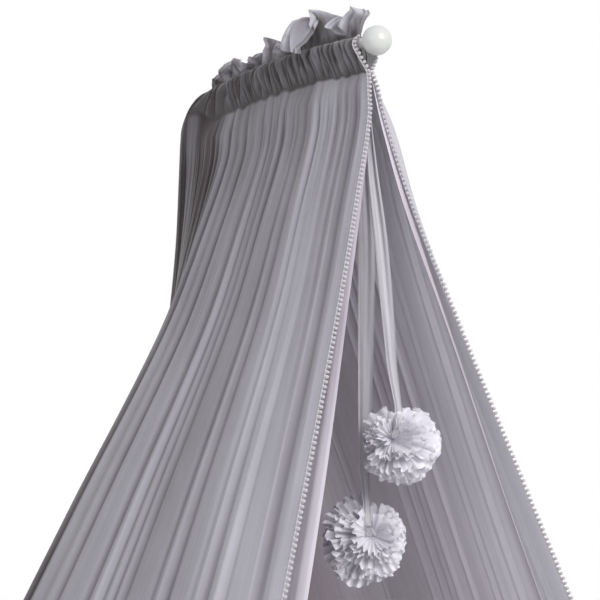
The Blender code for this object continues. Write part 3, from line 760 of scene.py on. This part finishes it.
def heading_point(row, column, down, layer_gap=0.0):
    station, x, height = heading_place(row, column)
    ruffle = PUFF * row.ruffle * ruffle_wave(column, down)
    height += wander(SEAM_JAG, column.rib, down, column.side) * clamp(2.0 * down / LAST_ROW - 1.0)
    if column.zone == "back":
        ruffle *= 1.0 - 0.7 * column.top
        layer_gap *= 1.0 + BEND_LAYER_ROOM * math.sin(math.pi * column.top)
    if column.zone == "wrap":
        grow = (0.3 * ruffle - layer_gap) / max(math.hypot(x, height), ROD_RADIUS)
        x, height = x * (1.0 + grow), height * (1.0 + grow)
    else:
        x = max(x + ruffle - layer_gap, LEAST_HALF_GAP)
    return section_point(station, column.side * x, height)


def frill_form(station, level):
    """How far the frill rises, and how far it leans to +x, at a level from 0 at its seam to 1 at its edge."""
    low, high, t = between(FRILL, "at", station)
    rise, lean, curl = (mix(getattr(low, f), getattr(high, f), smooth(t)) for f in ("height", "lean", "curl"))
    tilt = math.radians(max(curl, 1.0))
    bend = tilt * level * mix(1.0, FRILL_DROOP, clamp((curl - 90.0) / 60.0))
    up = rise * math.sin(bend) / math.sin(min(tilt, math.pi / 2))
    over = rise * (1 - math.cos(bend)) * mix(1.0, FRILL_ROLL, clamp((curl - 60.0) / 60.0))
    for length, depth in FRILL_WAVES:
        phase = station / length + wander(FRILL_DRIFT, station, 2.0)
        lean += depth * (4.0 * abs(phase - math.floor(phase + 0.5)) - 1.0)
    return up, lean * level - over


def frill_crumple(station, level):
    """Creases of two sizes, deeper towards the frill's edge."""
    large = vector_noise(Vector((station / FRILL_CRUMPLE_SIZE, level * 1.9, 1.0)))
    fine = vector_noise(Vector((station / (0.45 * FRILL_CRUMPLE_SIZE), level * 3.7, 6.0)))
    return (large + 0.4 * fine) * FRILL_CRUMPLE * level


def frill_point(column, level):
    """Frill above the upper seam: it leans, curls over and crumples, and both plies go together."""
    station, x, height = heading_place(UPPER_SEAM, column)
    up, lean = frill_form(station, level)
    fade = min(1.0, (UPPER_SEAM.fold_at - station) / FRILL_FADE + FRILL_LEAST)
    sway = FRILL_SWAY * math.sin(2 * math.pi * station / FRILL_WAVES[0][0] + 2.0 * level)
    crumple = frill_crumple(station, level) * fade
    spread = column.side * x * (1.0 + FRILL_SPREAD * level * fade)
    return section_point(station + sway * fade + crumple.y, spread + lean * fade + crumple.x,
                         height + up + crumple.z * FRILL_CRUMPLE_RISE)


def plan_point(plan, column):
    """Place, outward direction and zone length of a column on the skirt at one drop, as for the near side."""
    front = Vector((-plan.front_x, plan.front_y))
    corner = Vector((-plan.corner_x, plan.corner_y))
    back = Vector((-plan.back_x, plan.back_y))
    side_run = (corner - front).normalized()
    back_run = (back - corner).normalized()
    if column.zone == "side":
        point = front.lerp(corner, column.share)
        run = side_run.lerp(back_run, 0.5 * column.share ** 2)
        length = (corner - front).length
        puff, rounding = (plan.far_puff, FAR_ROUNDING) if column.side > 0 else (plan.near_puff, NEAR_ROUNDING)
        point.x -= puff * math.sin(math.pi * column.share ** rounding)
    elif column.zone == "back":
        point = corner.lerp(back, column.share)
        run = side_run.lerp(back_run, 0.5 + 0.5 * column.share)
        length = (back - corner).length
    else:
        turn = column.top * math.pi / 2
        depth = plan.fold_y - plan.back_y
        point = Vector((back.x * math.cos(turn), back.y + depth * math.sin(turn)))
        length = plan.back_x
        run = Vector((math.sin(turn) * plan.back_x, math.cos(turn) * depth))
    return point, Vector((-run.y, run.x)).normalized(), length


def layer_inset(plan, column):
    nearness = {"side": 0.0, "back": column.share, "wrap": 1.0}[column.zone]
    return mix(plan.inset, plan.back_inset, nearness)


def pleat_depth(column, drop, rib_width):
    """Fine pleats: uneven waves whose phase drifts and whose depth comes and goes on the way down."""
    depth = 0.0
    for period, ratio, phase in PLEATS:
        seed = Vector((column.pleat * 0.13 / period + phase, drop * 1.1, column.side * 3.0 + phase))
        drift = PLEAT_WANDER * noise.noise(seed)
        strength = clamp(0.62 + 0.9 * noise.noise(seed * 1.9 + Vector((7.0, 0.0, 0.0))), 0.12, 1.25)
        wave = math.sin(2 * math.pi * column.pleat / period + phase + drift)
        depth += ratio * period * rib_width * strength * wave
    return depth * mix(PLEAT_MOST, PLEAT_LEAST, ease(drop, *PLEAT_FADE))


def fold_strength(column, drop):
    """How deep a main fold is at a drop against its plain depth: some stand out and others nearly vanish."""
    return clamp(FOLD_MEAN + wander(FOLD_DEPTH, column.pleat, drop, column.side), FOLD_LEAST, FOLD_MOST)


def skirt_point(plan, column, inset, fullness, fineness):
    point, outward, length = plan_point(plan, column)
    strength = fold_strength(column, plan.drop)
    swing = column.wave * column.swing * length * plan.fold_depth * fullness * strength
    rib_width = length / zone_pleats(column.zone)
    pleats = pleat_depth(column, plan.drop, rib_width) * ease(plan.drop, *PLEAT_START) * fineness
    room = max(abs(point.x) - inset - LEAST_HALF_GAP, 0.0)
    point = point + outward * (max(swing + pleats, -room) - inset)
    return Vector((-column.side * point.x, BALL_Y + point.y, BALL_HEIGHT - plan.drop))


def heading_rows(columns, layer_gap=0.0, rows=HEADING, steps=5):
    """Rows of the tunnel, on a curve through the table's rows."""
    made = []
    for number in range((len(rows) - 1) * steps + 1):
        at, part = divmod(number, steps)
        if at == len(rows) - 1:
            at, part = at - 1, steps
        t = part / steps
        near = (rows[max(0, at - 1)], rows[at], rows[at + 1], rows[min(len(rows) - 1, at + 2)])
        weights = ((-t ** 3 + 2 * t ** 2 - t) / 2, (3 * t ** 3 - 5 * t ** 2 + 2) / 2,
                   (-3 * t ** 3 + 4 * t ** 2 + t) / 2, (t ** 3 - t ** 2) / 2)
        blend = Heading(*[sum(w * value for w, value in zip(weights, values)) for values in zip(*near)])
        made.append([heading_point(blend, column, at + t, layer_gap) for column in columns])
    return made


def drops(count):
    """Drops of the skirt's rows, closer together near the gathers."""
    first, last = SKIRT[0].drop, SKIRT[-1].drop
    return [mix(first, last, (i / (count - 1)) ** ROW_CROWDING) for i in range(count)]


def skirt_rows(columns, count, inner=False):
    fullness, fineness = (INNER_FULLNESS, INNER_FINENESS) if inner else (1.0, 1.0)
    rows = []
    for drop in drops(count):
        plan = eased_row(SKIRT, "drop", drop)._replace(drop=drop)
        row = []
        for column in columns:
            inset = layer_inset(plan, column) if inner else 0.0
            row.append(skirt_point(plan, column, inset, fullness, fineness))
        rows.append(row)
    return rows


def joining_rows(above, below, count=3):
    """Rows between the lower seam and the skirt's first row: the gathers fan out at once."""
    return [[a.lerp(b, smooth(i / (count + 1))) for a, b in zip(above, below)] for i in range(1, count + 1)]


# ---- painted light and shade on the net


def side_light(column, front, back, wrap):
    """Painted light and shade that runs from the free front edge, past the corner, to the fold at the back.
    """
    corner = mix(front, back, 0.55)
    if column.zone == "side":
        return mix(front, corner, column.share)
    if column.zone == "back":
        return mix(corner, back, smooth(min(1.0, column.share * 2.0)))
    return mix(back, wrap, column.top)


def edge_light(column, drop):
    """What the inner layer's painted light is multiplied by near its free edges: painted shade on the far
    one, painted light low down on the near one.
    """
    if column.zone != "side":
        return 1.0
    if column.side > 0:
        return mix(EDGE_TONE, 1.0, ease(column.share, 0.0, EDGE_SHARE))
    return 1.0 + STRIP_GLOW * ease(drop, *STRIP_DROPS) * (1.0 - min(1.0, column.share / STRIP_SHARE))


def skirt_shade(column, drop, inner):
    """Painted light and shade: lighter on the crests and darker in the troughs, and darker near the gathers
    and at the back.
    """
    *lights, top = TONES[inner, column.side]
    settle = ease(drop, TOP_FROM, TOP_FROM + TOP_REACH[inner])
    tone = side_light(column, *lights) * mix(top, 1.0, settle)
    crest = column.wave
    if inner:
        tone *= edge_light(column, drop)
        crest *= -0.5
    deep = crest * (0.6 if crest > 0 else 1.6) * fold_strength(column, drop) ** 1.5 * mix(0.6, 1.0, settle)
    band = ease(wander(BAND_LIE, column.pleat + BAND_SLANT * drop, drop, column.side), -0.5, 0.5) - 0.5
    return tone + FOLD_TONE * deep + BAND_TONE * band + PLEAT_TONE * pleat_depth(column, drop, 1.0)


def heading_shade(column, down):
    """Painted shade: dark between the ribs and along both seams."""
    wave = ruffle_wave(column, down)
    at_seam = min(1.0, abs(down - LAST_ROW) / 0.7, abs(down) / 0.4 + 0.3)
    light = side_light(column, *HEADING_TONES)
    return light * mix(0.02, 1.15, smooth(min(wave, 1.0))) * mix(0.10, 1.0, at_seam)


def frill_shade(column, level):
    # Painted shade at the seam, lighter towards the frill's edge and its front, with uneven painted patches
    # of light and shade.
    station = heading_place(UPPER_SEAM, column)[0]
    shade_patches = wander(FRILL_SHADE_PATCHES, station, level)
    return side_light(column, *FRILL_TONES) * mix(0.20, 1.0, smooth(level)) + shade_patches


# ---- the net


def cloth_uv(rows, width):
    """Uv in metres of cloth: even shares of the cut width, and the mean distance down from the first row."""
    count = len(rows[0])
    middle = rows[len(rows) // 2]
    across = [0.0]
    for a, b in zip(middle, middle[1:]):
        across.append(across[-1] + (b - a).length)
    scale = width / across[-1]
    down, uv = 0.0, []
    for index, row in enumerate(rows):
        if index:
            down += sum((a - b).length for a, b in zip(row, rows[index - 1])) / count
        uv += [(u * scale, down) for u in across]
    return uv


def add_canopy(material):
    """The outer net, and the points of its two free front edges below the frill."""
    columns = net_columns(1.0)
    levels = [1.0 - i / FRILL_LEVELS for i in range(FRILL_LEVELS)]
    frill = [[frill_point(column, level) for column in columns] for level in levels]
    heading = heading_rows(columns)
    skirt = skirt_rows(columns, SKIRT_ROWS)
    joins = joining_rows(heading[-1], skirt[0])
    shade = [frill_shade(column, level) for level in levels for column in columns]
    for number in range(len(heading)):
        shade += [heading_shade(column, LAST_ROW * number / (len(heading) - 1)) for column in columns]
    for drop in [SKIRT[0].drop] * len(joins) + drops(SKIRT_ROWS):
        shade += [skirt_shade(column, drop, False) for column in columns]
    below_frill = heading + joins + skirt
    rows = frill + below_frill
    canopy = grid_object("net_canopy_cloth", rows, material, cloth_uv(rows, OUTER_FLAT[0]), shade)
    dress(canopy, "net_canopy")
    return canopy, [row[0] for row in below_frill], [row[-1] for row in below_frill]


def add_inner_layer(material):
    columns = net_columns(INNER_DENSITY)
    seam = heading_rows(columns, LAYER_GAP, HEADING[-2:], 1)[-1]
    skirt = skirt_rows(columns, INNER_ROWS, inner=True)
    rows = [seam] + joining_rows(seam, skirt[0]) + skirt
    shade = []
    for drop in [SKIRT[0].drop] * (len(rows) - len(skirt)) + drops(INNER_ROWS):
        shade += [skirt_shade(column, drop, True) for column in columns]
    inner = grid_object("inner_layer_cloth", rows, material, cloth_uv(rows, INNER_FLAT[0]), shade)
    return dress(inner, "inner_layer")


# ---- bead trims


def trim_path(edge, side):
    """Middle of the tape, just ahead of a free front edge and clear of the rod where it passes that."""
    path = []
    for point in edge:
        x = side * max(TRIM_MIN_X, abs(point.x))
        middle = Vector((x, point.y - TRIM_HALF_WIDTH - TRIM_GAP, point.z))
        axis = rod_frame(max(0.0, middle.y - BALL_Y))[0]
        away = Vector((middle.x, 0.0, middle.z - axis.z))
        if away.length < ROD_RADIUS * 3:
            reach = max(away.length, ROD_RADIUS + BEAD_SIZE.x + TRIM_GAP)
            middle = Vector((0.0, middle.y, axis.z)) + away.normalized() * reach
        path.append(middle)
    return path


def resample(path, pitch):
    """Points along a path from its start to its end, at the even pitch nearest to the one asked for."""
    lengths = [(end - start).length for start, end in zip(path, path[1:])]
    count = round(sum(lengths) / pitch)
    step = sum(lengths) / count
    points, done, leg = [path[0].copy()], 0.0, 0
    for number in range(1, count):
        while number * step > done + lengths[leg]:
            done += lengths[leg]
            leg += 1
        points.append(path[leg].lerp(path[leg + 1], (number * step - done) / lengths[leg]))
    return points + [path[-1].copy()]


def add_beads(name, path, side, material):
    """Tiny pompoms, each turned a little its own way, with a short neck back to the tape's cord."""
    shuffle = random.Random(5 + side)
    lie_back = Matrix.Rotation(math.pi / 2, 4, "X")
    bm = bmesh.new()
    points = resample(path, TRIM_PITCH)
    for before, centre, after in zip(points, points[1:], points[2:]):
        along = (after - before).normalized()
        across = along.cross(Vector((0.0, -1.0, 0.0))).normalized()
        ahead = across.cross(along).normalized()
        turn = Matrix((across, ahead, along)).transposed().to_4x4()
        size = BEAD_SIZE * shuffle.uniform(0.92, 1.08)
        lean = Matrix.Rotation(shuffle.uniform(-0.35, 0.35), 4, "X")
        place = Matrix.Translation(centre + ahead * (BEAD_SET + shuffle.uniform(-0.0003, 0.0003)))
        bead = bmesh.ops.create_uvsphere(bm, u_segments=10, v_segments=7, radius=1.0)["verts"]
        bmesh.ops.transform(bm, matrix=place @ turn @ lean @ Matrix.Diagonal((*size, 1.0)), verts=bead)
        neck = bmesh.ops.create_cone(bm, cap_ends=False, segments=5, radius1=NECK_RADIUS,
                                     radius2=NECK_RADIUS, depth=TRIM_HALF_WIDTH)["verts"]
        place = Matrix.Translation(centre - ahead * TRIM_HALF_WIDTH / 2)
        bmesh.ops.transform(bm, matrix=place @ turn @ lie_back, verts=neck)
    beads = mesh_object(name, bm, material)
    beads.data.shade_smooth()
    return beads


def add_tape(name, path, material):
    """Two fine cords laid side by side along the cloth's edge, which the beads hang from."""
    points = resample(path, TRIM_PITCH / 2)
    sway = CORD_RADIUS * 0.3
    cords = []
    for offset in (TRIM_HALF_WIDTH, TRIM_HALF_WIDTH - 1.8 * CORD_RADIUS):
        cords.append([point + Vector((sway * (-1) ** i, offset, 0.0)) for i, point in enumerate(points)])
    return curve_object(name, cords, CORD_RADIUS, 2, material)


def add_trim(side_name, edge, side, bead_material, cord_material):
    path = trim_path(edge, side)
    beads = add_beads(f"trim_{side_name}_beads", path, side, bead_material)
    tape = add_tape(f"trim_{side_name}_cords", path, cord_material)
    return [dress(piece, f"trim_{side_name}") for piece in (beads, tape)]


# ---- ribbons and pompoms


def pompom_centre(pompom):
    end = pompom.ribbon[-1]
    return Vector((end.x, BALL_Y + end.y, BALL_HEIGHT - end.drop - TOUCH - POMPOM_CORE))


def ribbon_spots():
    """Places across a ribbon, from -1 at one edge to 1 at the other."""
    return [2.0 * j / RIBBON_STEPS - 1.0 for j in range(RIBBON_STEPS + 1)]


def ribbon_row(pompom, drop):
    """Points across the ribbon at a drop, creased along its length."""
    row = eased_row(pompom.ribbon, "drop", drop)
    last = pompom.ribbon[-1].drop
    into_ball = ease(drop, last - RIBBON_LEAD, last)
    turn = math.radians(row.turn)
    across = Vector((-math.sin(turn), math.cos(turn), 0.0)) * max(row.half_width, RIBBON_LOW_HALF * into_ball)
    facing = Vector((math.cos(turn), math.sin(turn), 0.0)) * row.half_width
    centre = Vector((row.x, BALL_Y + row.y, BALL_HEIGHT - drop))
    centre += pompom.pole.normalized() * RIBBON_AHEAD * into_ball
    points = []
    for s in ribbon_spots():
        crease = 0.22 * math.cos(s * 4.2 + drop * 3.0) - 0.10 * math.cos(s * 9.0 - drop * 5.0)
        points.append(centre + across * s + facing * crease)
    return points


def ribbon_tail(pompom, above):
    """Rows of the ribbon's end, which runs over the short petals and down to the knot."""
    forward = pompom.pole.normalized()
    end = above[len(above) // 2]
    knot = pompom_centre(pompom) + pompom.knot + forward * 0.017
    over = end.lerp(knot, 0.45) + forward * 0.004 + Vector((0.0, 0.0, 0.002))
    width = above[-1] - above[0]
    rows = []
    for i in range(1, TAIL_STEPS + 1):
        t = i / TAIL_STEPS
        middle = end * (1 - t) ** 2 + over * 2 * t * (1 - t) + knot * t ** 2
        half = mix(width.length / 2, 0.0055, min(1.0, 2.0 * t)) * (1.0 - 0.5 * t ** 3)
        across = width.normalized().lerp(ACROSS, min(1.0, 1.5 * t)).normalized() * half
        rows.append([middle + across * s + forward * 0.0010 * math.cos(4.5 * s) for s in ribbon_spots()])
    return rows


def add_ribbon(name, pompom, material):
    """A sheer ribbon from the gathers to the pompom's knot."""
    first, last = pompom.ribbon[0].drop, pompom.ribbon[-1].drop
    levels = [mix(first, last, i / RIBBON_ROWS) for i in range(RIBBON_ROWS + 1)]
    rows = [ribbon_row(pompom, drop) for drop in levels]
    rows += ribbon_tail(pompom, rows[-1])
    levels += [last + TAIL_PITCH * (i + 1) for i in range(TAIL_STEPS)]
    uv = [(j / RIBBON_STEPS, level) for level in levels for j in range(RIBBON_STEPS + 1)]
    return dress(grid_object(f"{name}_cloth", rows, material, uv), name)


def petal_points(direction, across, reach, shuffle):
    """One fan of tulle from the knot outwards: pleated along its length, with a wavy cut edge."""
    normal = direction.cross(across).normalized()
    calm = smooth(clamp(0.5 + 0.8 * direction.dot(SMOOTH_SIDE)))
    spread = math.radians(mix(shuffle.uniform(13.0, 18.0), shuffle.uniform(20.0, 27.0), calm))
    pleats = shuffle.uniform(2.2, 3.4)
    depth = mix(0.090, 0.050, calm)
    phase = shuffle.uniform(0.0, 2 * math.pi)
    bow = shuffle.uniform(-0.35, 0.35) * 0.35
    rows = []
    for i in range(PETAL_LENGTH_STEPS + 1):
        r = mix(0.07, 1.0, i / PETAL_LENGTH_STEPS)
        row = []
        for j in range(PETAL_FAN_STEPS + 1):
            s = 2.0 * j / PETAL_FAN_STEPS - 1.0
            edge = 1.0 - 0.05 * abs(math.sin(s * 5.0 + phase)) - 0.10 * s * s
            out = reach * r * (1.0 if i < PETAL_LENGTH_STEPS else edge)
            ripple = depth * r ** 1.4 * math.sin(pleats * math.pi * s + phase)
            row.append(direction * out * math.cos(s * spread) + across * out * math.sin(s * spread)
                       + normal * reach * (ripple + bow * r * r))
        rows.append(row)
    return rows


def petal_directions(pompom, shuffle):
    """Directions in rings round the knot's axis, each with the tangent along which its fan spreads."""
    pole = pompom.pole.normalized()
    east = pole.cross(Vector((0.0, 0.0, 1.0))).normalized()
    north = east.cross(pole).normalized()
    for degrees, count in PETAL_RINGS:
        for number in range(count):
            tilt = math.radians(degrees + shuffle.uniform(-7.0, 7.0))
            turn = 2 * math.pi * (number + shuffle.uniform(-0.3, 0.3)) / count + degrees
            ring = east * math.cos(turn) + north * math.sin(turn)
            tangent = north * math.cos(turn) - east * math.sin(turn)
            direction = (pole * math.cos(tilt) + ring * math.sin(tilt)).normalized()
            twist = Matrix.Rotation(math.radians(shuffle.uniform(-38.0, 38.0)), 3, direction)
            yield direction, twist @ tangent


def petal_reach(pompom, direction, shuffle):
    """From the knot to the ball's surface, and less where the petals are short."""
    ahead = direction.dot(pompom.knot)
    to_ball = math.sqrt(ahead ** 2 + pompom.reach ** 2 - pompom.knot.length_squared) - ahead
    reach = to_ball * shuffle.uniform(0.88, 1.0)
    if direction.z > TOP_SINE:
        reach *= TOP_SHARE
    if pompom.notch and direction.dot(pompom.notch) > NOTCH_COSINE:
        reach *= NOTCH_SHARE
    if direction.z > GROOVE_LOW and direction.dot(pompom.pole) > GROOVE_BACK:
        reach *= mix(GROOVE_SHARE, 1.0, ease(abs(direction.dot(ACROSS)), *GROOVE_SINES))
    return reach


def add_pompom(pompom, material):
    """Fans of tulle tied at the middle and spread into a ball."""
    shuffle = random.Random(pompom.seed)
    points, faces = [], []
    for direction, across in petal_directions(pompom, shuffle):
        reach = petal_reach(pompom, direction, shuffle)
        rows = petal_points(direction, across, reach, shuffle)
        faces += grid_faces(len(rows), len(rows[0]), len(points))
        for point in (point + pompom.knot for row in rows for point in row):
            points.append(Vector((point.x, point.y, point.z * pompom.squash)))
    mesh = bpy.data.meshes.new(f"{pompom.name}_petals")
    mesh.from_pydata(points, [], faces)
    mesh.shade_smooth()
    petals = link_object(mesh.name, mesh, material)
    petals.location = pompom_centre(pompom)
    return dress(petals, pompom.name)


# ---- camera, light and floor


def add_camera():
    data = bpy.data.cameras.new("camera")
    data.sensor_width = SENSOR_MM
    data.lens = SENSOR_MM * FOCAL_LENGTH_PX / IMAGE_WIDTH_PX
    camera = bpy.data.objects.new("camera", data)
    yaw = Matrix.Rotation(-CAMERA_YAW, 4, "Z")
    pitch = Matrix.Rotation(math.pi / 2 + CAMERA_PITCH, 4, "X")
    roll = Matrix.Rotation(CAMERA_ROLL, 4, "Z")
    place = Vector((0.0, BALL_Y, BALL_HEIGHT)) + CAMERA_FROM_BALL
    camera.matrix_world = Matrix.Translation(place) @ yaw @ pitch @ roll
    bpy.context.scene.collection.objects.link(camera)
    bpy.context.scene.camera = camera


def add_area_light(name, place, target, size, power, colour):
    data = bpy.data.lights.new(name, "AREA")
    data.shape = "DISK"
    data.size = size
    data.energy = power
    data.color = colour
    light = bpy.data.objects.new(name, data)
    light.location = place
    light.rotation_mode = "QUATERNION"
    light.rotation_quaternion = (Vector(target) - Vector(place)).to_track_quat("-Z", "Y")
    bpy.context.scene.collection.objects.link(light)


def add_lights():
    add_area_light("key", (-0.2, -3.2, 1.7), (0.0, -0.3, 0.3), 1.6, 78.0, (1.0, 0.99, 0.98))
    add_area_light("side_fill", (-3.2, -0.9, 1.2), (0.0, -0.2, 0.2), 2.4, 12.0, (0.98, 0.98, 1.0))
    add_area_light("back_fill", (1.6, 2.6, 2.2), (0.0, 0.0, 0.2), 2.0, 20.0, WHITE)


def add_world():
    """White behind the object, and a softer level of the same white as light."""
    world = bpy.data.worlds.new("studio")
    bpy.context.scene.world = world
    world.use_nodes = True
    tree = world.node_tree
    background = tree.nodes["Background"]
    background.inputs["Color"].default_value = (*WHITE, 1.0)
    path = tree.nodes.new("ShaderNodeLightPath")
    level = tree.nodes.new("ShaderNodeMapRange")
    level.inputs["To Min"].default_value = WORLD_LEVEL
    level.inputs["To Max"].default_value = 1.0
    tree.links.new(path.outputs["Is Camera Ray"], level.inputs["Value"])
    tree.links.new(level.outputs["Result"], background.inputs["Strength"])


def add_floor():
    mesh = bpy.data.meshes.new("floor")
    corners = [(x * FLOOR_HALF, y * FLOOR_HALF, FLOOR_Z) for x, y in ((-1, -1), (1, -1), (1, 1), (-1, 1))]
    mesh.from_pydata(corners, [], [(0, 1, 2, 3)])
    link_object("floor", mesh, floor_material())


# ---- the whole scene


def trapezoid_area(flat, top_width):
    return (flat[0] + top_width) / 2 * flat[1]


def add_nets(beads, cord):
    """Both layers of net, and the trims that are sewn along the outer one."""
    # Each net's dark colour is its painted shade and its light colour its painted light, mixed by its shade
    # attribute.
    net = net_material("outer_net", (0.61, 0.603, 0.68), (0.036, 0.028, 0.030), 0.82, OUTER_FLAT)
    inner_net = net_material("inner_net_cloth", (0.79, 0.765, 0.85), (0.125, 0.070, 0.098), 0.80, INNER_FLAT)
    canopy, near_edge, far_edge = add_canopy(net)
    inner = add_inner_layer(inner_net)
    trims = add_trim("near", near_edge, -1, beads, cord) + add_trim("far", far_edge, 1, beads, cord)
    trapezoid_area(OUTER_FLAT, OUTER_TOP_WIDTH)
    trapezoid_area(INNER_FLAT, INNER_TOP_WIDTH)


def add_hanging(pompom, name, tulle, ribbon_cloth):
    """A pompom on its ribbon."""
    ball = add_pompom(pompom, tulle)
    ribbon = add_ribbon(name, pompom, ribbon_cloth)


def build():
    beads = yarn_material("bead_yarn", (0.24, 0.22, 0.25), (0.58, 0.56, 0.60))
    cord = yarn_material("trim_cord", (0.48, 0.47, 0.52), (0.66, 0.65, 0.70))
    add_nets(beads, cord)
    tulle, ribbon_cloth = tulle_material(), ribbon_material()
    for pompom, name in zip(POMPOMS, ("ribbon_lower", "ribbon_upper")):
        add_hanging(pompom, name, tulle, ribbon_cloth)
    white_paint = paint_material("rod_paint", (0.84, 0.84, 0.84), 0.38, 0.1)
    add_rod(white_paint)
    add_ball(paint_material("ball_gloss", (0.48, 0.49, 0.485), 0.30, 0.3))
    add_plate(white_paint)


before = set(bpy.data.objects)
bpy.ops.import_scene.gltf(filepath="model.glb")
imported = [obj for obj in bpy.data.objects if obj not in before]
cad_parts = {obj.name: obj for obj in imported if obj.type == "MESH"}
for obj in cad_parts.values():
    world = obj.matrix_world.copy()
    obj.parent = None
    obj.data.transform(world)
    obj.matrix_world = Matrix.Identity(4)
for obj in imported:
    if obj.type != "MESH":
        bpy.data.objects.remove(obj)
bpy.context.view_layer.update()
build()
add_floor()
add_camera()
add_lights()
add_world()
bpy.context.scene.view_settings.view_transform = "Standard"
